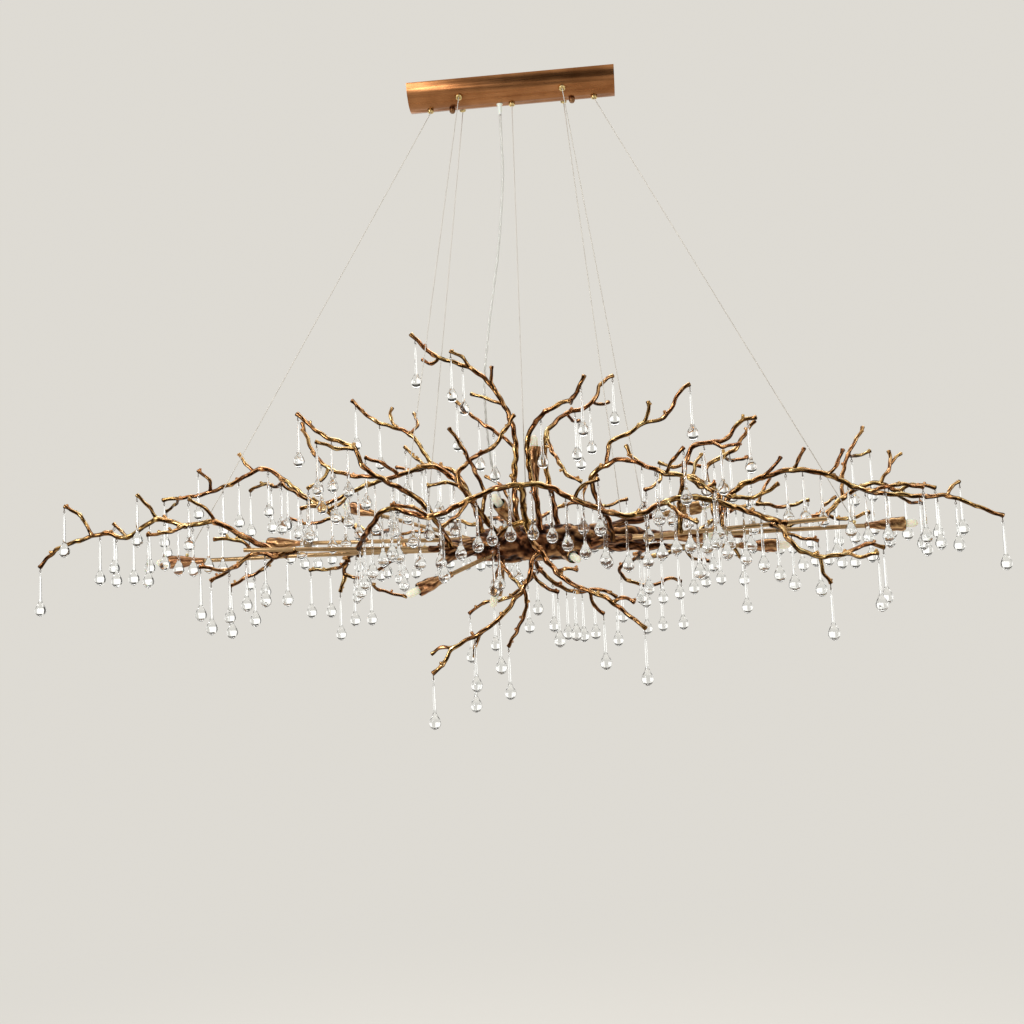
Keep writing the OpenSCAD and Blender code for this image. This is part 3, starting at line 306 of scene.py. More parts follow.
def stored_shade(tree):
    """The number that make_piece stored at each point."""
    node = tree.nodes.new("ShaderNodeAttribute")
    node.attribute_name = "shade"
    return node.outputs["Fac"]


def add_bump(tree, shader, height, depth, strength=0.5):
    """Fine relief: height 0 to 1 stands for depth metres."""
    node = tree.nodes.new("ShaderNodeBump")
    node.inputs["Strength"].default_value = strength
    node.inputs["Distance"].default_value = depth
    tree.links.new(height, node.inputs["Height"])
    tree.links.new(node.outputs["Normal"], shader.inputs["Normal"])


# %% Cast and brushed metals
def cast_metal(name, places, gold, red, gloss, noise_share):
    """Cast metal coloured by the stored shade, which is partly patina and partly painted light and
    shade: the gold and the red colours stand at the same places of a ramp, which is read at
    shade * (1 - noise_share) + noise * noise_share. A broad noise, 60 mm wide, passes from the
    gold ramp to the red one."""
    finish, tree, shader = new_finish(name, metallic=1.0)
    value = blend_values(tree, stored_shade(tree), noise(tree, 160, 6), noise_share)
    patch = tree.nodes.new("ShaderNodeMix")
    patch.data_type = "RGBA"
    tree.links.new(ramp(tree, noise(tree, 16, 3), [(0.38, 0.0), (0.58, 1.0)]),
                   patch.inputs["Factor"])
    inputs = [socket for socket in patch.inputs if socket.type == "RGBA"]
    for socket, colors in zip(inputs, (gold, red)):
        tree.links.new(ramp(tree, value, list(zip(places, colors))), socket)
    mixed = next(socket for socket in patch.outputs if socket.type == "RGBA")
    tree.links.new(mixed, shader.inputs["Base Color"])
    drive(tree, shader, "Roughness", noise(tree, 90), [(0.3, gloss[0]), (0.7, gloss[1])])
    add_bump(tree, shader, noise(tree, 900, 3), 0.25 * MM)
    return finish


def brushed_metal(name, dark, light, gloss=(0.28, 0.42), clouds=0.5):
    """Brushed along X: noise 60 times longer along X than across it. The colour follows
    lines * (1 - clouds) + a 70 mm noise * clouds."""
    finish, tree, shader = new_finish(name, metallic=1.0)
    lines = noise(tree, 900, 3, stretch=(1 / 60, 1, 1))
    value = blend_values(tree, lines, noise(tree, 14, 3), clouds)
    drive(tree, shader, "Base Color", value, [(0.3, dark), (0.7, light)])
    drive(tree, shader, "Roughness", lines, [(0.2, gloss[0]), (0.8, gloss[1])])
    add_bump(tree, shader, lines, 0.06 * MM, 0.4)
    return finish


# these ramps turn the shade, patina together with painted light and shade, into colour
twig_brass = cast_metal(
    "twig_brass", (0.25, 0.45, 0.59, 0.75),
    [(0.026, 0.011, 0.002), (0.225, 0.116, 0.034), (0.610, 0.388, 0.142), (0.980, 0.790, 0.410)],
    [(0.020, 0.007, 0.002), (0.150, 0.055, 0.018), (0.450, 0.195, 0.075), (0.900, 0.500, 0.240)],
    (0.18, 0.32), 0.22)
bark_bronze = cast_metal(
    "bark_bronze", (0.20, 0.45, 0.65, 0.85),
    [(0.014, 0.006, 0.004), (0.075, 0.034, 0.015), (0.220, 0.110, 0.048), (0.480, 0.270, 0.115)],
    [(0.010, 0.004, 0.003), (0.050, 0.018, 0.009), (0.150, 0.060, 0.027), (0.360, 0.160, 0.070)],
    (0.28, 0.48), 0.30)
socket_bronze = cast_metal(
    "socket_bronze", (0.20, 0.45, 0.65, 0.85),
    [(0.050, 0.022, 0.010), (0.200, 0.100, 0.042), (0.440, 0.255, 0.110), (0.740, 0.490, 0.240)],
    [(0.040, 0.016, 0.008), (0.150, 0.062, 0.028), (0.360, 0.170, 0.078), (0.620, 0.340, 0.160)],
    (0.24, 0.42), 0.30)
rod_bronze = brushed_metal("rod_bronze", (0.230, 0.130, 0.058), (0.580, 0.390, 0.200))
cover_copper = brushed_metal("cover_copper", (0.220, 0.082, 0.027), (0.480, 0.215, 0.086),
                             (0.22, 0.36), 0.85)
gripper_brass = brushed_metal("gripper_brass", (0.620, 0.460, 0.190), (0.860, 0.680, 0.340))
knob_bronze = brushed_metal("knob_bronze", (0.180, 0.085, 0.036), (0.380, 0.200, 0.095))
hub_steel = brushed_metal("hub_steel", (0.060, 0.040, 0.028), (0.130, 0.090, 0.065), (0.4, 0.6))
zinc_steel = brushed_metal("zinc_steel", (0.420, 0.430, 0.440), (0.620, 0.630, 0.640))
wire_steel = brushed_metal("wire_steel", (0.650, 0.620, 0.570), (0.800, 0.770, 0.715),
                           (0.55, 0.68))
hook_wire = brushed_metal("hook_wire", (0.050, 0.030, 0.018), (0.160, 0.100, 0.060))


# %% Glass, ceramic and plastics
def clear_glass(name, color, roughness, ior):
    """Solid clear glass. Faint clouds in the colour and long low waves on the skin stand for
    the way that it was pulled by hand."""
    finish, tree, shader = new_finish(name, color, 0.0, roughness, Transmission_Weight=1.0,
                                      IOR=ior)
    cloudy = tuple(0.975 * c for c in color)
    drive(tree, shader, "Base Color", noise(tree, 40, 2), [(0.35, cloudy), (0.65, color)])
    add_bump(tree, shader, noise(tree, 60, 1), 0.20 * MM, 0.10)
    return finish


def soft_solid(name, dark, light, roughness, **sockets):
    """Moulded or glazed solid with a slightly cloudy colour and a fine grain."""
    finish, tree, shader = new_finish(name, light, 0.0, roughness, **sockets)
    drive(tree, shader, "Base Color", noise(tree, 60, 4), [(0.3, dark), (0.7, light)])
    add_bump(tree, shader, noise(tree, 700, 2), 0.05 * MM, 0.3)
    return finish


drop_glass = clear_glass("drop_glass", (0.955, 0.965, 0.960), 0.0, 1.5)
frosted_bulb = soft_solid("frosted_bulb", (0.93, 0.86, 0.66), (0.98, 0.94, 0.80), 0.30,
                          Transmission_Weight=0.1, Subsurface_Weight=0.25)
ceramic_white = soft_solid("ceramic_white", (0.80, 0.79, 0.75), (0.88, 0.87, 0.84), 0.22)
block_plastic = soft_solid("block_plastic", (0.80, 0.80, 0.77), (0.88, 0.88, 0.86), 0.45)
grip_plastic = soft_solid("grip_plastic", (0.80, 0.79, 0.68), (0.90, 0.89, 0.80), 0.30,
                          Subsurface_Weight=0.2)
core_sleeve = soft_solid("core_sleeve", (0.84, 0.84, 0.80), (0.94, 0.94, 0.91), 0.30)
clear_cord = soft_solid("clear_cord", (0.90, 0.91, 0.88), (0.97, 0.97, 0.95), 0.14,
                        Transmission_Weight=0.6, IOR=1.4)
print("finishes:", len(bpy.data.materials))

# %% [markdown]
# ## Small machined pieces
#
# Brackets, studs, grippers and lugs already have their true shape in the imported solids. What
# they lack is the small rounding that catches a line of light along every edge. Each gets a
# copy whose loose triangles are merged into flat faces, with a Bevel modifier on its edges.

# %% Copies with rounded edges
SAME_PLACE = 2e-6  # corners nearer than this are one corner


def rounded_copy(node, material, width):
    """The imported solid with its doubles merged, flat faces joined and edges rounded."""
    mesh = frame["nodes"][node].data.copy()
    work = bmesh.new()
    work.from_mesh(mesh)
    bmesh.ops.remove_doubles(work, verts=work.verts, dist=SAME_PLACE)
    bmesh.ops.dissolve_limit(work, angle_limit=0.01, verts=work.verts, edges=work.edges)
    for face in work.faces:
        face.smooth = True
    work.to_mesh(mesh)
    work.free()
    mesh.materials.clear()
    mesh.materials.append(material)
    piece = new_object(node + "_dressed", mesh)
    edge = piece.modifiers.new("edge", "BEVEL")
    edge.width, edge.segments, edge.limit_method = width, 2, "ANGLE"
    edge.angle_limit, edge.harden_normals = np.radians(32), True
    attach(piece, frame["nodes"][node]["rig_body"])
    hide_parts(node)
    return piece


for node, material, width in [
        ("canopy_cover", cover_copper, 0.35), ("ceiling_bracket", zinc_steel, 0.4),
        ("bracket_studs", zinc_steel, 0.2), ("canopy_knob_left", knob_bronze, 0.2),
        ("canopy_knob_right", knob_bronze, 0.2), ("terminal_block", block_plastic, 0.4),
        ("cord_grip", grip_plastic, 0.2), ("cable_grippers", gripper_brass, 0.2),
        ("wire_anchors", gripper_brass, 0.2), ("hub_core", hub_steel, 0.4),
        ("arm_rods_left", rod_bronze, 0.4), ("arm_rods_right", rod_bronze, 0.4),
        ("lampholders", ceramic_white, 0.3)]:
    piece = rounded_copy(node, material, width * MM)
    print(piece.name, len(piece.data.polygons), "faces")

# %% [markdown]
# ## Wires and cord
#
# A suspension wire is a strand of fine steel wires twisted together, 1.7 mm thick. Its tube
# swells and sinks six times round each ring, and the swelling turns as it goes along, which
# gives the twist. The power cord is a clear sheath over two twisted cores: one piece holds
# the cores, one the nearly clear tube round them under the cover's gland, and one the start
# of that tube above it. The cord hangs with a slight bow and ends inside the hub's collar.

# %% Suspension wires
COVER_R, COVER_SIDE = 40, 26  # mm: the cover's radius, and how far off its middle pairs sit
PAIR_Z = -np.sqrt(COVER_R ** 2 - COVER_SIDE ** 2)
ON_ROD = 8  # mm from the middle of a rod up to the end of a wire in its lug
MOUTH, INSIDE_GRIPPER = 5.3 * MM, 16.5 * MM  # how far a gripper reaches out of and into the cover
WIRE_R, LOBES, LAY = 0.85 * MM, 6, 9 * MM  # strands round a wire, and the length of one turn
BARE_LEFT = np.array([[-88, -13, -5], [-520, -105, 8]])
BARE_RIGHT = np.array([[88, -13, -5], [520, -105, 8]])


def on_rod(rod, x, flip=1):
    """Where a wire ends over a straight rod at x; flip -1 is the rod behind."""
    p = rod[0] + (rod[1] - rod[0]) * (x - rod[0][0]) / (rod[1][0] - rod[0][0])
    return [p[0], p[1] * flip, p[2] + ON_ROD + HUB_Z]


wires = np.array([
    [[-160, 0, -COVER_R], [-668, 0, 12 + HUB_Z]],
    [[-100, -COVER_SIDE, PAIR_Z], on_rod(BARE_LEFT, -244)],
    [[-100, COVER_SIDE, PAIR_Z], on_rod(BARE_LEFT, -212, -1)],
    [[0, 0, -COVER_R], [-10, 0, 35 + HUB_Z]],
    [[100, COVER_SIDE, PAIR_Z], on_rod(BARE_RIGHT, 170, -1)],
    [[100, -COVER_SIDE, PAIR_Z], on_rod(BARE_RIGHT, 212)],
    [[160, 0, -COVER_R], [588, 0, ON_ROD + HUB_Z]],
]) * MM


def strand(points):
    """Wire radius * (0.94 + 0.06 |sin(lobes / 2 * (angle - 2 pi s / lay))|) along a path."""
    line, _, s = even_path(points, 2 * MM)
    twist = ring_angles(12)[None] - 2 * np.pi * s[:, None] / LAY
    lobe = np.abs(np.sin(LOBES / 2 * twist))
    return capped(tube_grid(line, WIRE_R * (0.94 + 0.06 * lobe), 12), lobe)


parts = []
for top, foot in wires:
    outward = unit(top * [0, 1, 1])  # square to the round cover
    bend = top + outward * MOUTH
    parts += [strand([top - outward * INSIDE_GRIPPER, top, bend]),
              strand([bend, (bend + foot) / 2, foot])]
make_piece("suspension_wires_dressed", parts, wire_steel, ["suspension_wires"])

# %% Power cord
hand_points = np.array([
    [-74, 0, -17.5], [-73, 0, -25], [-64, 0, -31], [-50, 0, -27], [-38, 0, -17],
    [-29, 0, -14.5], [-24, 0, -21], [-24, 0, -30], [-24, 0, -44], [-24, 0, -46.8],
    [-24, 0, -108], [-25, 4, -189], [-40, 10, -324], [-66, 16, -477], [-80, 18, -594],
    [-76, 18, -720], [-60, 16, -810], [-52, 14, -850], [-52, 14, -875]]) * MM
GLAND_Z = -60 * MM  # the foot of the cord's gland
cord_path, _, cord_s = even_path(hand_points, 6 * MM)
gland_end = int(np.argmax(cord_path[:, 2] < GLAND_Z))  # the first ring below the gland
hidden, free = cord_path[:gland_end + 1], cord_path[gland_end:]
sheath = make_piece("power_cord_dressed", [capped(tube_grid(free, 2.5 * MM, 16), dome=0.02)],
                    clear_cord, ["power_cord"])
start_piece = make_piece("power_cord_start", [capped(tube_grid(hidden, 2.4 * MM, 16))], clear_cord)
around = tube_grid(cord_path, 1.0, 4) - cord_path[:, None]  # four unit directions a ring
CORE_TURN, CORE_OFF, CORE_R = 34 * MM, 1.05 * MM, 0.95 * MM  # one twist, off the middle, radius
cores = []
for side in (0, np.pi):
    turn = 2 * np.pi * cord_s / CORE_TURN + side
    away = around[:, 0] * np.cos(turn)[:, None] + around[:, 1] * np.sin(turn)[:, None]
    cores.append(capped(tube_grid(cord_path + away * CORE_OFF, CORE_R, 8)))
core_piece = make_piece("power_cord_cores", cores, core_sleeve)

# %% [markdown]
# ## Bark on the hub and sockets
#
# The hub and socket cups are cast with a bark surface. Its grooves run along the piece and
# wander from side to side. Round a ring they are |sin(n angle / 2 + wander)|, sharp at the
# bottom and round on top, and the wander changes slowly along the piece, so three such
# families over each other never repeat.

# %% The bark pattern
def from_hub(points):
    """Points in mm from the middle of the hub, as metres below the ceiling."""
    return (np.asarray(points, float) + [0, 0, HUB_Z]) * MM


def bark(sides, s, seed, lines=(5, 9, 14)):
    """Height 0 to 1 at each place s along and each side round: the weighted sum of
    |sin(n angle / 2 + wander(s))| over n in lines. wander(s) is the sum of two sines along
    the piece with random lengths and starts."""
    dice = np.random.default_rng(seed)
    angle, s, height = ring_angles(sides)[None], np.asarray(s)[:, None], 0.0
    for n, weight in zip(lines, (0.5, 0.3, 0.2)):
        wander = dice.uniform(0, 6.28)
        for reach, low, high in ((1.1, 40, 90), (0.6, 110, 240)):
            wander = wander + reach * np.sin(s * dice.uniform(low, high) + dice.uniform(0, 6.28))
        height = height + weight * np.abs(np.sin(n * angle / 2 + wander))
    return height


def wavering(path, s, reach, lengths, dice):
    """The path moved by reach * sin(2 pi s / length + a random start) along X, Y and Z."""
    waves = 2 * np.pi * s[:, None] / (np.array(lengths) * MM)
    return path + reach * np.sin(waves + dice.uniform(0, 6.28, 3))


def resample(profile, count):
    """Even samples along a polyline of (place, radius) pairs, rounded at its corners."""
    curve, _, _ = even_path(np.insert(np.asarray(profile, float), 1, 0.0, axis=1), 0.4)
    pick = np.linspace(0, len(curve) - 1, count).round().astype(int)
    return curve[pick][:, [0, 2]]


# %% Hub
HUB_PROFILE = [
    (-105, 24.5), (-104, 26.5), (-91, 28), (-63, 30), (-44, 32.5), (-19, 31), (10, 32.8),
    (36, 30.5), (58, 32), (89, 27.5), (104, 26.5), (105, 24.5)]
rows = resample(HUB_PROFILE, 120)
path = from_hub(rows[:, :1] * [1, 0, 0])
s = np.concatenate([[0], np.cumsum(np.linalg.norm(np.diff(path, axis=0), axis=1))])
height = bark(96, s, 3, (5, 9, 16))
grid = tube_grid(path, (rows[:, 1:] + 7.0 * (height - 0.5)) * MM, 96)  # grooves 7 mm deep
# the shade, dark in the grooves and light on the ridges, is patina and painted shade together
make_piece("hub_bark_dressed", [capped(grid, np.clip(1.5 * height - 0.42, 0, 1), dome=0.02)],
           bark_bronze, ["hub_bark"])

# %% Roots along the rods
# each root: its radius at the hub and at its end, and points on its middle line, all in mm
ROOTS = [
    [25, 9, [[93, 0, 2], [118, -3, 8], [146, 3, 5], [176, -2, 8], [206, 1, 3], [236, 0, 0]]],
    [9, 5.2, [[228, 0, 0], [262, 1, 1], [296, 0, 0]]],
    [9, 5.2, [[135, 11, 20], [165, 21, 30], [200, 31, 36], [228, 39, 41]]],
    [9, 5.2, [[140, 8, -12], [180, 12, -15], [220, 15, -17], [262, 18, -18]]],
    [10, 5.2, [[112, -15, -3], [145, -25, -3], [185, -34, -2]]],
    [10, 5.2, [[112, 15, -3], [138, 24, -3], [160, 28, -3]]],
    [20, 8, [[-93, 0, 2], [-118, 2, -1], [-146, -2, 3], [-176, 0, 0]]],
    [9, 5.2, [[-112, -15, -3], [-150, -26, -3], [-190, -35, -2]]],
    [9, 5.2, [[-112, 15, -3], [-145, 25, -3], [-180, 33, -2]]],
    [8, 12, [[-90, -8, -3], [-124, -18, -10], [-148, -27, -17], [-168, -34, -23]]],
]


def root(spec, seed):
    """A tapered bark tube; it wavers by 1.5 mm to the sides and its bark is 0.3 of its
    radius deep."""
    first, last, line = spec
    path, count, s = even_path(from_hub(line), 3 * MM)
    path = wavering(path, s, 1.5 * MM, [90, 61, 47], np.random.default_rng(seed))
    radii = (first + (last - first) * count / (len(line) - 1)) * MM
    skin = bark(48, s, seed, (4, 7, 13))
    grid = tube_grid(path, radii[:, None] * (1 + 0.3 * (skin - 0.55)), 48)
    # the shade, dark in the grooves and light on the ridges, is patina and painted shade together
    return capped(grid, np.clip(1.5 * skin - 0.40, 0, 1), 0.25)


make_piece("hub_roots_dressed", [root(r, 70 + i) for i, r in enumerate(ROOTS)], bark_bronze,
           ["hub_roots"])

# %% [markdown]
# ## Sockets, lampholders and bulbs
#
# Twelve rods end in a socket. Its casting is a long taper that grips the rod and opens into a
# cup with a rim. Inside sits a ceramic lampholder with a frosted capsule bulb. One profile
# is carried along each rod's own direction. The bark is a little different on every casting,
# because its random start is.

# %% Socket castings
# each rod's foot in the hub and the middle of its socket, in mm from the hub's middle
SOCKETS = [
    [[-88, 0, 0], [-693, 0, 0]], [[-88, 7, 13], [-515, 60, 30]],
    [[-88, 15, 5], [-370, 150, 100]], [[-60, -16, -12], [-195, -80, -75]],
    [[88, 0, 0], [665, 0, 0]], [[88, 6, -12], [440, 30, -25]],
    [[88, -12, 7], [300, -30, -5]], [[88, 0, 16], [305, 60, 55]],
    [[-55, -5, -18], [-72, -4, -82]], [[-20, -16, 14], [-48, -74, 62]],
    [[10, 14, 14], [10, 18, 172]], [[42, -14, -8], [72, -70, -30]],
]
# (place along the rod from the socket's middle, radius): outside, then down inside the cup
RIM = 12
OUTSIDE = [(-58, 5.0), (-58, 5.4), (-45, 6.2), (-30, 8.6), (-19.4, 10.8), (-11, 12.4),
           (-2.4, 12.1), (4.8, 12.8), (11.2, 12.5), (RIM, 11.9)]
INSIDE = [(RIM, 11.3), (11.4, 10.75), (2, 10.7), (-11.5, 10.7)]


def along_rod(rod, places):
    """Points at the given distances, in mm, from the socket's middle along its rod."""
    start, end = np.array(rod, float)
    return from_hub(end + np.asarray(places)[:, None] * unit(end - start))


def socket(rod, seed):
    """The outside with bark, 1.8 mm deep and less where it is thin, then over the rim and
    down inside the smooth cup."""
    outer, inner = resample(OUTSIDE, 44), np.array(INSIDE)
    height = bark(40, np.concatenate([outer, inner])[:, 0] * MM, seed)
    height[len(outer):] = 0.1
    depth = 1.8 * np.clip(outer[:, 1:] / 11, 0.4, 1)
    line = along_rod(rod, outer[:, 0])
    grid = tube_grid(line, (outer[:, 1:] + depth * (height[:len(outer)] - 0.6)) * MM, 40)
    outward, step = unit(grid[-1] - line[-1]), unit(line[-1] - line[-2])
    cup = [line[-1] + step * (place - RIM) * MM + outward * r * MM for place, r in inner]
    grid = np.concatenate([grid, np.array(cup)])
    # the bark height is also the shade: dark grooves as patina and as painted shade
    return grid.reshape(-1, 3), [grid_faces(len(grid), 40)], height


make_piece("socket_sleeves_dressed", [socket(r, 31 * i) for i, r in enumerate(SOCKETS)],
           socket_bronze, ["socket_sleeves"])

# %% Bulbs
BULB = [(1, 6.6), (1.6, 7.2), (12, 7.25), (26, 7.25), (30, 6.7), (33.5, 5.0), (35.4, 2.8)]
rows = resample(BULB, 26)
make_piece("bulbs_dressed", [
    capped(tube_grid(along_rod(rod, rows[:, 0]), rows[:, 1:] * MM, 20), dome=0.2)
    for rod in SOCKETS], frosted_bulb, ["bulbs"])
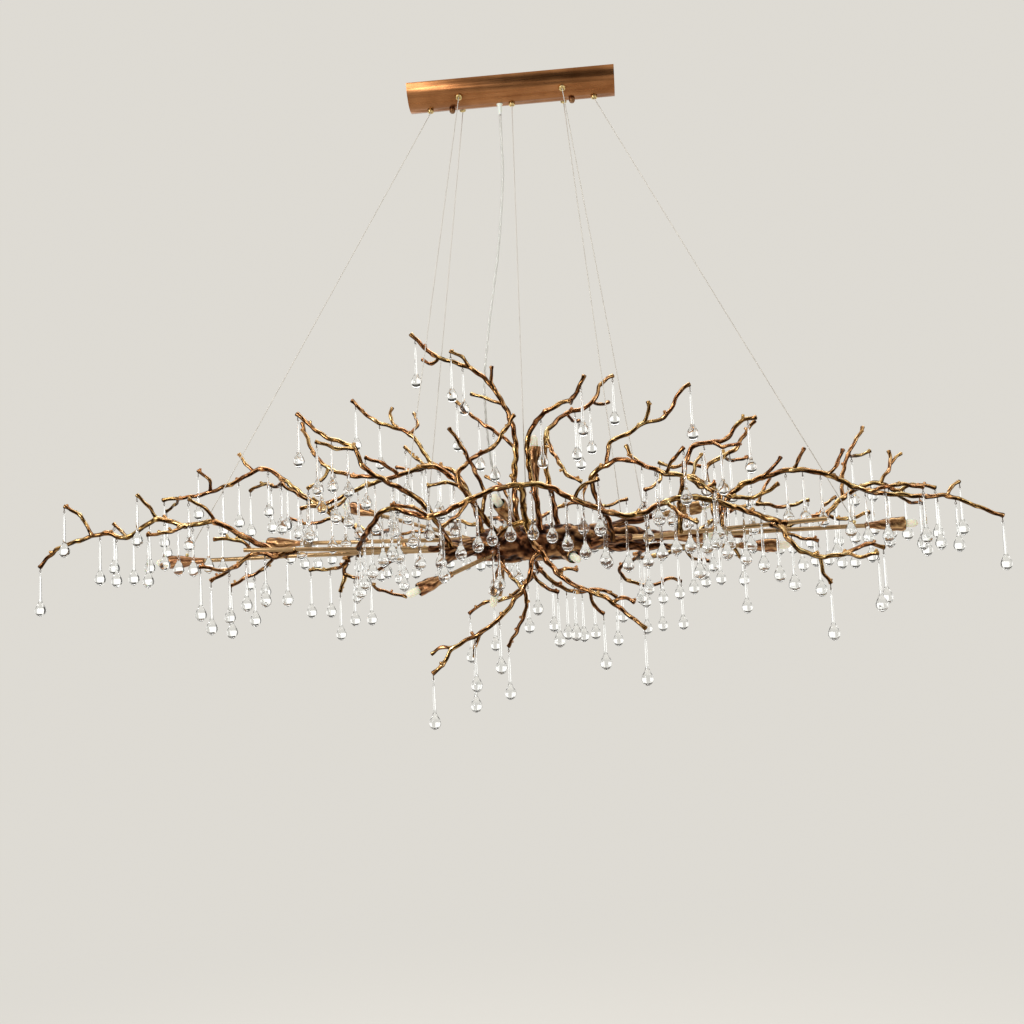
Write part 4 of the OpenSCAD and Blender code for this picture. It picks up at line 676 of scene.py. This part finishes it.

# %% [markdown]
# ## The cast twigs
#
# Nineteen castings carry all the drops. Each is a branch with side twigs. A limb is written
# as its thickness at the root and at the tip in mm, and a few points on its middle line in
# mm, counted from the middle of the hub. These points were read off the photograph, and the
# curve through them gives the bends. The rest is what a foundry keeps of a real branch: a
# collar where a twig leaves, swollen knots, grooves along the skin, blunt ends and buds.

# %% Listed points of every limb
SPRAYS = {
    "left_tip": [
        [5.2, 2.5, [[-470, 0, 1], [-500, -6, 14], [-553, -18, 42], [-600, -30, 70],
            [-655, -40, 65], [-710, -40, 80], [-775, -30, 50], [-815, -30, 60], [-875, -20, 50],
            [-925, -10, 35], [-965, 0, 5]]],
        [3.2, 2.2, [[-845, -25, 56], [-868, -30, 98], [-895, -40, 115]]],
        [3.0, 2.2, [[-710, -40, 80], [-722, -50, 105], [-740, -62, 126]]],
        [2.9, 2.1, [[-775, -30, 50], [-790, -15, 62], [-812, -5, 80]]],
        [3.2, 2.2, [[-655, -40, 65], [-672, -70, 52], [-706, -95, 46]]],
        [3.0, 2.2, [[-600, -30, 70], [-612, -47, 95], [-640, -62, 112]]],
    ],
    "left_upper": [
        [5.0, 2.5, [[-325, 36, 22], [-342, 38, 48], [-385, 40, 76], [-430, 45, 105],
            [-500, 78, 160], [-545, 90, 185], [-605, 72, 155], [-665, 60, 135], [-740, 60, 130]]],
        [3.0, 2.2, [[-560, 86, 178], [-578, 88, 196], [-592, 92, 218]]],
        [3.0, 2.1, [[-645, 64, 141], [-640, 52, 162], [-662, 46, 182]]],
        [2.8, 2.1, [[-705, 60, 132], [-725, 84, 122], [-752, 105, 112]]],
        [3.4, 2.2, [[-500, 78, 160], [-522, 112, 150], [-556, 134, 160], [-592, 150, 150]]],
        [3.0, 2.2, [[-430, 45, 105], [-452, 20, 120], [-480, 0, 140]]],
    ],
    "left_front": [
        [5.0, 2.5, [[-150, -26, -2], [-166, -40, 32], [-200, -62, 85], [-255, -108, 120],
            [-290, -125, 145], [-305, -130, 180], [-360, -126, 205], [-410, -120, 250]]],
        [3.6, 2.3, [[-268, -113, 128], [-312, -102, 132], [-360, -92, 150], [-390, -80, 180],
            [-405, -70, 210], [-418, -60, 243]]],
        [3.0, 2.1, [[-304, -130, 178], [-330, -155, 176], [-362, -172, 188]]],
        [3.0, 2.1, [[-360, -92, 150], [-372, -104, 128], [-394, -118, 112]]],
    ],
    "left_back": [
        [5.0, 2.5, [[-60, 20, 16], [-84, 32, 42], [-112, 46, 82], [-150, 70, 150], [-200, 90, 176],
            [-245, 110, 240], [-320, 120, 275], [-365, 120, 320]]],
        [2.8, 2.1, [[-272, 114, 256], [-286, 120, 278], [-282, 122, 300]]],
        [3.2, 2.2, [[-200, 90, 176], [-236, 118, 166], [-282, 140, 180]]],
        [3.0, 2.1, [[-245, 110, 240], [-232, 128, 262], [-242, 140, 288]]],
        [4.4, 2.3, [[-250, 48, 0], [-268, 92, 30], [-300, 140, 52], [-340, 182, 50],
            [-420, 205, 88], [-482, 205, 80], [-530, 215, 96]]],
        [3.0, 2.1, [[-420, 205, 88], [-440, 190, 112], [-470, 182, 130]]],
        [3.0, 2.1, [[-300, 140, 52], [-290, 180, 46], [-250, 212, 52], [-215, 228, 40]]],
    ],
    "left_long": [
        [5.0, 2.4, [[-92, -8, 18], [-100, -10, 56], [-116, -10, 96], [-150, -10, 135],
            [-190, -15, 155], [-245, -20, 140], [-305, -25, 125], [-340, -30, 110],
            [-385, -34, 92], [-432, -40, 86]]],
        [3.2, 2.2, [[-245, -20, 140], [-270, -42, 160], [-302, -56, 172]]],
        [3.0, 2.2, [[-340, -30, 110], [-356, -52, 86], [-388, -66, 76]]],
        [3.0, 2.1, [[-190, -15, 155], [-214, 8, 172], [-240, 22, 200]]],
    ],
    "left_low": [
        [4.6, 2.4, [[-345, 67, 1], [-372, 104, 4], [-390, 125, -16], [-395, 132, -42],
            [-406, 140, -68]]],
        [3.2, 2.2, [[-392, 129, -34], [-350, 130, -44], [-308, 122, -20], [-276, 134, -4]]],
        [3.2, 2.2, [[-380, 114, -6], [-412, 140, -20], [-470, 150, -20]]],
        [2.9, 2.1, [[-350, 130, -44], [-330, 160, -66], [-276, 176, -84]]],
        [4.6, 2.3, [[-428, -85, 5], [-470, -80, -4], [-508, -76, 4], [-540, -92, -20],
            [-582, -110, -46]]],
        [3.0, 2.1, [[-470, -80, -4], [-500, -58, -26], [-536, -50, -40], [-562, -58, -54]]],
        [3.0, 2.2, [[-508, -76, 4], [-530, -98, 26], [-572, -118, 30]]],
        [3.0, 2.1, [[-540, -92, -20], [-552, -120, -28], [-590, -140, -20]]],
    ],
    "top": [
        [5.2, 2.5, [[-26, -14, 16], [-28, -25, 80], [-26, -24, 140], [-22, -18, 178],
            [-30, -20, 235], [-60, -20, 295], [-100, -20, 335], [-170, -20, 366],
            [-212, -20, 410]]],
        [2.8, 2.1, [[-160, -20, 362], [-176, -8, 352], [-196, 0, 364]]],
        [2.8, 2.1, [[-104, -20, 338], [-114, -30, 356], [-136, -40, 366]]],
        [2.8, 2.1, [[-58, -20, 292], [-62, -28, 312], [-58, -38, 332]]],
        [3.0, 2.2, [[-42, -20, 262], [-74, -8, 278], [-104, 4, 292]]],
        [3.2, 2.2, [[-22, -18, 178], [-50, -12, 205], [-78, -10, 226], [-106, 2, 250],
            [-136, 14, 282]]],
    ],
    "cross": [
        [4.6, 2.4, [[-60, -18, 14], [-80, -50, 42], [-104, -75, 80], [-122, -78, 106],
            [-124, -72, 132], [-95, -54, 162], [-62, -48, 178], [-40, -46, 208], [-20, -46, 236]]],
        [3.4, 2.3, [[-88, -58, 54], [-80, -62, 92], [-94, -84, 132], [-114, -98, 176],
            [-134, -108, 208]]],
        [3.0, 2.1, [[-122, -78, 106], [-148, -92, 112], [-178, -108, 104]]],
    ],
    "arch": [
        [4.4, 3.4, [[-318, -62, 3], [-290, -104, 30], [-245, -130, 66], [-170, -145, 46],
            [-99, -150, 70], [-45, -150, 89], [30, -150, 90], [85, -150, 62], [150, -148, 34],
            [195, -145, 30], [245, -140, 50], [295, -135, 55], [360, -125, 36], [420, -104, 14],
            [452, -91, 6]]],
        [5.2, 3.6, [[0, -20, 4], [-2, -62, 16], [-3, -105, 31], [-5, -122, 54], [-4, -140, 76],
            [-4, -151, 93]]],
        [4.6, 3.6, [[-3, -105, 31], [-30, -98, 26], [-50, -80, 15], [-65, -60, 5], [-77, -26, -3]]],
        [4.4, 3.4, [[-3, -105, 31], [0, -104, 13], [11, -100, -11], [19, -96, -21]]],
        [3.0, 2.2, [[-99, -150, 70], [-116, -166, 44], [-142, -182, 24]]],
        [3.0, 2.2, [[85, -150, 62], [100, -170, 80], [130, -190, 90]]],
        [3.0, 2.2, [[245, -140, 50], [266, -162, 24], [292, -182, 8]]],
        [3.0, 2.2, [[-170, -145, 46], [-196, -164, 62], [-232, -180, 66]]],
    ],
    "bottom": [
        [4.8, 2.4, [[0, -16, -12], [12, -60, -22], [19, -96, -21], [30, -98, -38], [47, -102, -60],
            [66, -107, -78], [90, -112, -92], [130, -130, -110], [155, -136, -130],
            [196, -150, -166]]],
        [2.8, 2.1, [[47, -102, -60], [62, -115, -56], [84, -126, -60]]],
        [2.8, 2.1, [[104, -118, -98], [110, -110, -122], [126, -100, -138]]],
        [2.8, 2.1, [[142, -132, -118], [160, -138, -112], [180, -146, -120]]],
        [4.2, 2.4, [[19, -96, -21], [9, -98, -31], [2, -100, -42], [1, -100, -58], [-15, -96, -88],
            [-30, -100, -105], [-50, -105, -130], [-90, -110, -160], [-140, -115, -185],
            [-160, -120, -213], [-178, -122, -228]]],
        [3.2, 2.2, [[-15, -96, -88], [-10, -84, -108], [-18, -68, -134], [-34, -50, -162],
            [-52, -34, -188]]],
        [3.0, 2.2, [[1, -100, -58], [20, -86, -82], [46, -74, -96]]],
        [3.4, 2.4, [[-66, -14, -16], [-52, -56, -44], [-15, -96, -88]]],
        [2.8, 2.1, [[-90, -110, -160], [-104, -96, -182], [-108, -88, -204]]],
        [2.8, 2.1, [[-140, -115, -185], [-162, -104, -184], [-184, -98, -194]]],
    ],
    "centre_back": [
        [4.8, 2.4, [[-26, 16, 8], [-38, 58, 28], [-60, 108, 52], [-92, 150, 66], [-132, 188, 58],
            [-172, 210, 70], [-206, 240, 66]]],
        [3.4, 2.3, [[-38, 58, 28], [10, 92, 56], [52, 128, 80], [92, 160, 88], [132, 184, 80],
            [182, 205, 96]]],
        [3.2, 2.2, [[-60, 108, 52], [-52, 130, 90], [-70, 146, 130], [-102, 160, 152]]],
        [3.0, 2.2, [[92, 160, 88], [100, 172, 122], [126, 178, 146]]],
        [4.2, 2.3, [[-12, 18, -10], [6, 56, -46], [36, 86, -76], [72, 112, -92], [116, 138, -88],
            [150, 150, -104]]],
        [3.2, 2.2, [[6, 56, -46], [-30, 86, -78], [-70, 108, -100], [-112, 130, -104],
            [-144, 138, -124]]],
    ],
    "right_up": [
        [4.8, 2.4, [[18, -16, 16], [12, -32, 80], [2, -34, 140], [2, -38, 190], [20, -50, 220],
            [40, -65, 235], [65, -75, 245], [92, -92, 252], [100, -106, 262], [114, -120, 284]]],
        # thinner than its solid, so that the drop beside it swings clear of it
        [2.0, 1.5, [[78, -82, 249], [88, -100, 240], [90, -122, 244]]],
        [4.8, 2.4, [[48, 12, 16], [44, 0, 62], [36, -10, 110], [30, 0, 160], [34, 14, 208],
            [52, 24, 230], [75, 30, 248], [105, 40, 256], [130, 45, 275], [142, 58, 306],
            [166, 74, 324]]],
        [2.8, 2.1, [[124, 44, 270], [140, 62, 266], [156, 80, 274]]],
        [3.4, 2.3, [[34, 14, 205], [44, -8, 172], [58, -26, 146], [72, -42, 120], [98, -56, 104]]],
        [2.8, 2.1, [[75, 30, 248], [84, 52, 236], [96, 76, 240]]],
    ],
    "right_mid": [
        [4.6, 2.4, [[150, -27, -3], [142, -66, 30], [124, -104, 68], [118, -128, 102],
            [146, -142, 120], [180, -152, 125], [245, -166, 96], [285, -174, 85], [322, -188, 56]]],
        [3.4, 2.2, [[146, -142, 120], [150, -140, 150], [162, -142, 165], [185, -145, 171],
            [210, -150, 186], [248, -155, 194], [265, -157, 215], [280, -160, 240],
            [296, -160, 248]]],
        [2.8, 2.1, [[212, -150, 186], [222, -158, 204], [222, -164, 222]]],
        [2.8, 2.1, [[245, -166, 96], [258, -184, 116], [276, -196, 134]]],
        [2.8, 2.1, [[285, -174, 85], [302, -160, 70], [330, -150, 74]]],
    ],
    "right_centre": [
        [4.6, 2.4, [[330, -64, 2], [340, -63, 36], [342, -60, 68], [300, -46, 100],
            [245, -32, 116], [200, -14, 142], [182, -4, 172]]],
        [3.6, 2.4, [[342, -60, 68], [376, -62, 58], [410, -70, 58], [446, -82, 76]]],
        [3.0, 2.2, [[245, -32, 116], [236, -54, 94], [212, -74, 80]]],
        [2.8, 2.1, [[300, -46, 100], [306, -36, 126], [320, -22, 146]]],
    ],
    "right_loop": [
        [4.6, 2.4, [[270, -52, 0], [272, -64, 52], [280, -76, 96], [287, -82, 130],
            [305, -84, 154], [335, -82, 157], [362, -84, 163], [382, -88, 188], [412, -96, 196]]],
        [2.8, 2.1, [[335, -82, 157], [352, -98, 146], [380, -112, 148]]],
        [4.6, 2.4, [[345, 24, -21], [340, 28, 40], [334, 36, 94], [332, 44, 128], [365, 50, 150],
            [390, 55, 163], [408, 58, 188], [430, 62, 216]]],
        [3.2, 2.2, [[332, 44, 128], [300, 50, 140], [270, 62, 136], [246, 80, 150]]],
        [3.0, 2.2, [[365, 50, 150], [386, 76, 144], [418, 98, 152]]],
    ],
    "right_tip": [
        [5.2, 2.5, [[350, 0, 1], [354, -4, 32], [362, -8, 62], [388, -18, 84], [425, -30, 95],
            [480, -40, 105], [540, -40, 92], [585, -30, 70], [625, -22, 57], [665, -16, 52],
            [715, -12, 46], [755, -10, 45], [805, -4, 24], [850, 0, 4]]],
        [2.8, 2.1, [[752, -10, 45], [765, 0, 62], [782, 8, 72]]],
        [2.8, 2.1, [[425, -30, 95], [440, -46, 108], [456, -60, 126]]],
        [2.8, 2.1, [[480, -40, 105], [488, -54, 122], [498, -60, 140]]],
        [2.8, 2.1, [[540, -40, 92], [556, -48, 110], [566, -52, 136]]],
        [3.2, 2.2, [[585, -30, 70], [610, -56, 58], [652, -78, 64], [690, -92, 54]]],
        [2.8, 2.1, [[665, -16, 52], [690, 10, 40], [722, 30, 38]]],
    ],
    "right_twigs": [
        [4.6, 2.4, [[530, 0, 1], [545, 22, 26], [578, 36, 56], [615, 42, 76], [650, 48, 82],
            [680, 52, 66], [712, 58, 76], [756, 68, 70]]],
        [3.0, 2.2, [[650, 48, 82], [668, 52, 104], [676, 60, 122], [676, 66, 144]]],
        [2.4, 1.9, [[675, 58, 118], [686, 64, 128], [698, 66, 138]]],
        [3.4, 2.2, [[578, 36, 56], [584, 54, 98], [600, 66, 140], [620, 76, 170], [636, 84, 194]]],
        [2.8, 2.1, [[600, 66, 140], [620, 88, 140], [650, 104, 150]]],
    ],
    "right_low": [
        [4.4, 2.3, [[428, -85, 5], [442, -112, -6], [450, -120, -26], [470, -122, -45],
            [502, -122, -58], [545, -120, -54], [582, -112, -40], [612, -104, -46]]],
        [2.8, 2.1, [[444, -115, -12], [474, -100, -22], [506, -88, -28]]],
        [2.8, 2.1, [[502, -122, -58], [503, -120, -80], [516, -116, -104]]],
        [2.8, 2.1, [[545, -120, -54], [562, -142, -62], [590, -158, -58]]],
    ],
    "right_back": [
        [4.6, 2.4, [[218, 41, -1], [206, 82, -16], [196, 124, -30], [228, 152, -28],
            [290, 156, -14], [340, 150, 6], [402, 140, 2]]],
        [3.4, 2.2, [[196, 124, -30], [160, 158, -46], [172, 184, -70], [220, 192, -85],
            [256, 196, -72], [282, 206, -78]]],
        [3.2, 2.2, [[372, 74, 4], [380, 84, -26], [398, 96, -52]]],
        [4.4, 2.3, [[300, 58, 1], [330, 106, 24], [380, 152, 54], [440, 176, 68], [492, 192, 60],
            [545, 200, 72]]],
        [3.0, 2.1, [[440, 176, 68], [456, 188, 98], [472, 200, 122]]],
        [3.0, 2.1, [[380, 152, 54], [364, 180, 70], [330, 204, 92]]],
        [3.0, 2.1, [[290, 156, -14], [306, 180, -34], [340, 200, -40]]],
        [4.2, 2.3, [[470, 94, 6], [500, 112, 20], [550, 128, 34], [600, 132, 24], [648, 140, 36]]],
        [2.8, 2.1, [[550, 128, 34], [566, 146, 56], [590, 156, 70]]],
    ],
}
print("castings:", len(SPRAYS), "limbs:", sum(len(v) for v in SPRAYS.values()))


# %% One limb
LIMB_STEP, LIMB_SIDES = 3.4 * MM, 12
LONG_LIMB = 80 * MM


def hump(s, middle, width):
    """A smooth swelling along the limb: exp(-((s - middle) / width)^2)."""
    return np.exp(-((s - middle) / width) ** 2)


def limb(spec, seed):
    """Radius = taper * (1 + collar + end + knots + grooves). The taper is 1.1 * (root +
    (1.3 tip - root) * share). The collar and the end are humps all round; each knot is a hump
    that leans to one side of the limb, 1 + 0.6 cos(angle - side); the grooves are the bark
    pattern with few, broad lines. The shade carries painted light: lighter where the skin faces
    up and darker on the underside, as if lit from overhead."""
    root, tip, line = spec
    dice = np.random.default_rng(seed)
    path, count, s = even_path(from_hub(line), LIMB_STEP)
    path = wavering(path, s, 0.8 * MM, [29, 23, 37], dice)
    taper = 1.1 * (root + (1.3 * tip - root) * count / (len(line) - 1)) * MM
    knots = np.interp(np.arange(1, len(line) - 1), count, s)
    size, side = dice.uniform(0.10, 0.32, len(knots)), dice.uniform(0, 6.28, len(knots))
    lump = hump(s[:, None], knots, dice.uniform(3.5, 6.5, len(knots)) * MM) * size
    lean = 1 + 0.6 * np.cos(ring_angles(LIMB_SIDES)[:, None] - side)
    lumps = (lump[:, None] * lean).sum(-1)
    even = 0.30 * hump(s, 0, 7 * MM) + 0.34 * hump(s, s[-1], 5 * MM)
    skin = bark(LIMB_SIDES, s, seed, (3, 5, 8))
    radius = taper[:, None] * (1 + even[:, None] + lumps + 0.22 * (skin - 0.62))
    grid = tube_grid(path, radius, LIMB_SIDES)
    # painted light: where the skin faces up the shade is raised, on the underside it is lowered
    painted_top_light = unit(grid - path[:, None])[..., 2]
    shade = np.clip(1.1 * skin - 0.28 + 0.8 * lumps + 0.30 * painted_top_light, 0, 1)
    return capped(grid, shade, 0.3), path, taper


def bud(path, taper, place, seed):
    """A blunt broken-off bud: a short cone that leaves the limb upwards and forwards, 1.7 to
    2.9 times the limb's radius long."""
    dice = np.random.default_rng(seed)
    i = int(np.clip(place * (len(path) - 1), 1, len(path) - 2))
    along = unit(path[i + 1] - path[i - 1])
    aside = unit(np.cross(along, dice.normal(size=3)))
    aside[2] = abs(aside[2])
    reach = dice.uniform(1.7, 2.9) * taper[i] * unit(0.75 * along + aside)
    line = path[i] + np.linspace(0, 1, 5)[:, None] * reach
    return capped(tube_grid(line, taper[i] * np.array([0.95, 0.9, 0.84, 0.8, 0.84]), 8),
                  np.full((5, 8), 0.62), 0.3)


# %% All castings
for number, (name, limbs) in enumerate(SPRAYS.items()):
    parts = []
    for i, spec in enumerate(limbs):
        shape, path, taper = limb(spec, 100 * number + i)
        parts.append(shape)
        many = len(path) * LIMB_STEP > LONG_LIMB
        for j, place in enumerate((0.22, 0.45, 0.68, 0.92) if many else (0.9,)):
            parts.append(bud(path, taper, place, 1000 * number + 10 * i + j))
    make_piece(f"spray_{name}_dressed", parts, twig_brass, [f"spray_{name}"])

# %% [markdown]
# ## Hooks and drops
#
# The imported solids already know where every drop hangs. Their loose parts are told apart by
# giving each corner the lowest number among its neighbours, again and again, until all
# corners of one part share a number. The box of a ring then gives the place of its hook, and
# the box of a drop the place of its glass eye. One hook and one drop are made with few
# faces, and copied to all places as one array.

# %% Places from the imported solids
EYE_DOWN = 3.5 * MM  # from a drop's top to the middle of its eye


def loose_parts(node):
    """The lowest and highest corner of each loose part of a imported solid."""
    mesh = frame["nodes"][node].data
    points = np.empty(len(mesh.vertices) * 3)
    mesh.vertices.foreach_get("co", points)
    points = points.reshape(-1, 3)
    edges = np.empty(len(mesh.edges) * 2, dtype=np.int32)
    mesh.edges.foreach_get("vertices", edges)
    close = np.round(points / SAME_PLACE).astype(np.int64)
    same = np.unique(close, axis=0, return_inverse=True)[1].ravel()
    a, b = same[edges].reshape(-1, 2).T
    label, before = np.arange(same.max() + 1), None
    while before is None or (label != before).any():
        before = label.copy()
        np.minimum.at(label, a, before[b])
        np.minimum.at(label, b, before[a])
        label = label[label]
    part = np.unique(label[same], return_inverse=True)[1].ravel()
    low, high = np.full((part.max() + 1, 3), np.inf), np.full((part.max() + 1, 3), -np.inf)
    np.minimum.at(low, part, points)
    np.maximum.at(high, part, points)
    return low, high


def drop_places(node):
    """The middle of each drop's eye."""
    low, high = loose_parts(node)
    middle = (low + high) / 2
    return np.column_stack([middle[:, :2], high[:, 2] - EYE_DOWN])


swing_nodes = sorted(n for n in frame["nodes"] if n.startswith("swing_"))
swing_places = np.vstack([drop_places(n) for n in swing_nodes])


def turns(places):
    """Each fixed drop and its ring are turned a little about the vertical; swinging ones hang
    square to their hinge. The turn is 0.6 sin(x / 0.7 mm + y / 1.1 mm)."""
    near = np.linalg.norm(places[:, None, :2] - swing_places[:, :2], axis=-1).min(1)
    turn = 0.6 * np.sin(places[:, 0] / (0.7 * MM) + places[:, 1] / (1.1 * MM))
    return np.where(near < 1 * MM, 0.0, turn)


# %% One hook and one drop
def torus(major, minor, around, across, plane):
    """Centre ring in the named plane, radius major; the wire round it has radius minor."""
    t, v = ring_angles(around)[:, None], ring_angles(across)[None]
    out, flat = major + minor * np.cos(v), minor * np.sin(v) + 0 * t
    first, up = out * np.cos(t), out * np.sin(t)
    points = np.stack([first, flat, up] if plane == "XZ" else [-flat, first, up], -1)
    faces = grid_faces(around, across, ring=True)[:, [0, 3, 2, 1]]
    return points.reshape(-1, 3), [faces], np.full(around * across, 0.5)


def repeated(shape, places, turn):
    """Copies of a shape, each turned about Z, x' = x cos - y sin and y' = x sin + y cos, and
    moved. Copy k's corner numbers are moved on by k times the points of one."""
    points, faces, shade = shape
    c, s = np.cos(turn)[:, None], np.sin(turn)[:, None]
    x, y, z = points.T
    moved = np.stack([x * c - y * s, x * s + y * c, z + 0 * c], -1) + places[:, None]
    first = (np.arange(len(places)) * len(points))[:, None, None]
    return (moved.reshape(-1, 3), [(f[None] + first).reshape(-1, f.shape[1]) for f in faces],
            np.tile(np.asarray(shade).ravel(), len(places)))


EYE_R = 2.6 * MM
ring = torus(EYE_R, 0.5 * MM, 12, 5, "YZ")
pin_line = np.array([[0, 0, z] for z in (9.6, 6.5, 4.2, 2.2)]) * MM
pin = capped(tube_grid(pin_line, np.array([1.3, 1.0, 0.75, 0.7]) * MM, 6))
eye = torus(EYE_R, 0.9 * MM, 10, 5, "XZ")
# (height, radius) in mm down a drop: the stem, the flare under it and the ball
STEM = [(-3.0, 0.8), (-8, 2.4), (-45, 2.5), (-53.2, 2.64)]
FLARE = [(-53.2 - 13.3 * t, 2.64 + 5.79 * t * t * (2.1 - 1.1 * t)) for t in (0.3, 0.55, 0.8)]
BALL = [(-73.5 + 11.5 * np.sin(a), 11 * np.cos(a))
        for a in np.radians([38, 14, -10, -34, -58, -78])]
outline = np.array(STEM + FLARE + BALL) * MM
fuller = 1 / 0.925  # the modifier draws an eight-sided ring in by this much
drop = capped(tube_grid(outline[:, :1] * [0, 0, 1], outline[:, 1] * fuller, 8), dome=0.2)
print("faces of a drop:", sum(len(f) for f in drop[1] + eye[1]))


def hang_drops(node, body):
    """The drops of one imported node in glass, with one level of subdivision."""
    places = drop_places(node)
    turn = turns(places)
    shapes = [repeated(drop, places, turn), repeated(eye, places, turn)]
    piece = make_piece(node + "_dressed", shapes, drop_glass, [node], body)
    smoother = piece.modifiers.new("round", "SUBSURF")
    smoother.levels = smoother.render_levels = 1
    return len(places)


# %% All hooks and drops
for node in sorted(n for n in frame["nodes"] if n.startswith("hooks_")):
    low, high = loose_parts(node)
    is_ring = (high - low)[:, 1] > 4 * MM
    places = ((low + high) / 2)[is_ring]
    turn = turns(places)
    shapes = [repeated(ring, places, turn), repeated(pin, places, turn)]
    make_piece(node + "_dressed", shapes, hook_wire, [node])

groups = sorted(n for n in frame["nodes"] if n.startswith("drops_"))
hung = sum(hang_drops(node, "fixture") for node in groups)
for node in swing_nodes:
    hung += hang_drops(node, frame["nodes"][node]["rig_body"])
print("drops:", hung)

# %% [markdown]
# ## Floor, background and light
#
# The light hangs from a ceiling that isn't shown, 2.4 m over a plain pale floor. Far from the
# middle the floor's own colour passes into the colour of the background, so no horizon
# crosses the picture. Glass only shows what is round it. Ten tall windows behind the light,
# outside the picture, put the white streaks into the stems, and dark boards draw the thin dark
# edges of glass and metal. A strong lamp from the left, a weak one from the right and a wide
# one overhead light the metal, and a small one picks out the ceiling cover.

# %% Background and floor
BACK = (0.730, 0.706, 0.655)
world = bpy.data.worlds.new("pale_room")
world.use_nodes = True
bpy.context.scene.world = world
sky = next(n for n in world.node_tree.nodes if n.type == "BACKGROUND")
sky.inputs["Color"].default_value = (*BACK, 1.0)
sky.inputs["Strength"].default_value = 1.0

FLOOR_Z = -2.4
radius = np.array([0.001, 0.5, 1, 2, 3, 4, 6, 9, 14, 22])[:, None]
angle = ring_angles(64)
floor_grid = np.stack([radius * np.cos(angle), radius * np.sin(angle),
                       FLOOR_Z + 0 * radius * angle], -1)
floor_mesh = bpy.data.meshes.new("floor")
floor_mesh.from_pydata(floor_grid.reshape(-1, 3).tolist(), [],
                       grid_faces(len(radius), 64)[:, ::-1].tolist())
floor = new_object("floor", floor_mesh)

finish, tree, shader = new_finish("pale_floor", (0.78, 0.765, 0.735), 0.0, 0.7)
glow = tree.nodes.new("ShaderNodeEmission")
glow.inputs["Color"].default_value = (*BACK, 1.0)
where = tree.nodes.new("ShaderNodeTexCoord")
distance = tree.nodes.new("ShaderNodeVectorMath")
distance.operation = "LENGTH"
far = tree.nodes.new("ShaderNodeMapRange")
far.interpolation_type = "SMOOTHSTEP"
far.inputs["From Min"].default_value, far.inputs["From Max"].default_value = 1.6, 4.2
mix = tree.nodes.new("ShaderNodeMixShader")
output = next(n for n in tree.nodes if n.type == "OUTPUT_MATERIAL")
tree.links.new(where.outputs["Object"], distance.inputs[0])
tree.links.new(distance.outputs["Value"], far.inputs["Value"])
tree.links.new(far.outputs["Result"], mix.inputs[0])
tree.links.new(shader.outputs["BSDF"], mix.inputs[1])
tree.links.new(glow.outputs["Emission"], mix.inputs[2])
tree.links.new(mix.outputs["Shader"], output.inputs["Surface"])
floor_mesh.materials.append(finish)
print("floor at", FLOOR_Z, "m, background", BACK)


# %% Lamps and boards
def facing(place, target):
    """A pose at place whose -Z axis points at target and whose X axis lies level."""
    back = unit(np.array(place, float) - target)
    side = unit(np.cross([0, 0, 1.0], back))
    return pose(side, np.cross(back, side), back, place)


def soft_lamp(name, place, target, width, height, power):
    """A soft lamp at place that faces target; the camera doesn't see it."""
    lamp = bpy.data.lights.new(name, "AREA")
    lamp.shape = "RECTANGLE"
    lamp.size, lamp.size_y, lamp.energy = width, height, power
    holder = new_object(name, lamp)
    holder.matrix_world = facing(place, target)
    holder.visible_camera = False


middle = np.array([0.0, 0.0, -0.95])
soft_lamp("front_left", [-2.3, -2.5, 0.3], middle, 1.0, 1.6, 34)
soft_lamp("front_right", [2.7, -1.9, -0.5], middle, 0.8, 1.8, 17)
soft_lamp("top", [0.0, 0.9, 1.5], middle, 3.4, 0.8, 35)
soft_lamp("cover", [-1.1, -1.7, -0.55], np.zeros(3), 0.3, 0.3, 8)
WINDOWS_AWAY, WINDOWS_Z = 3.6, np.array([0, 0, -0.62])
for angle in (20, 33, 46, 59, 72):  # tall windows behind the light, five on each side
    for side, word in ((-1, "left"), (1, "right")):
        turn = side * np.radians(angle)
        place = WINDOWS_AWAY * np.array([np.sin(turn), np.cos(turn), 0]) + WINDOWS_Z
        soft_lamp(f"window_{word}_{angle}", place, WINDOWS_Z, 0.8, 2.3, 3.0)


def flag(name, place, target, width, height):
    """A dark board like a photographer's flag, outside the picture. Metal and glass see it,
    which gives them their dark edges; the camera and the floor don't, and it casts no shadow."""
    mesh = bpy.data.meshes.new(name)
    corners = np.array([[-1, -1, 0], [1, -1, 0], [1, 1, 0], [-1, 1, 0]]) / 2
    mesh.from_pydata((corners * [width, height, 1]).tolist(), [], [[0, 1, 2, 3]])
    board = new_object(name, mesh)
    board.matrix_world = facing(place, target)
    board.visible_camera = board.visible_diffuse = board.visible_shadow = False
    mesh.materials.append(new_finish(name, (0.03, 0.028, 0.026), 0.0, 0.9)[0])
    return board


flag("flag_left", [-2.6, -1.2, -1.3], middle, 0.9, 2.0)
flag("flag_right", [2.6, -0.9, -1.3], middle, 0.9, 2.0)
flag("flag_low", [0.2, -2.4, -2.1], middle, 3.0, 0.8)
flag("flag_front", [0.4, -5.0, -0.4], middle, 8.0, 3.6).visible_transmission = False
flag("flag_side_left", [-2.8, 0.45, -1.0], middle, 1.5, 2.6)
flag("flag_side_right", [2.8, 0.45, -1.0], middle, 1.5, 2.6)
flag("flag_high", [0.0, 3.2, 2.1], middle, 8.0, 2.3)
bpy.context.scene.view_settings.view_transform = "Standard"
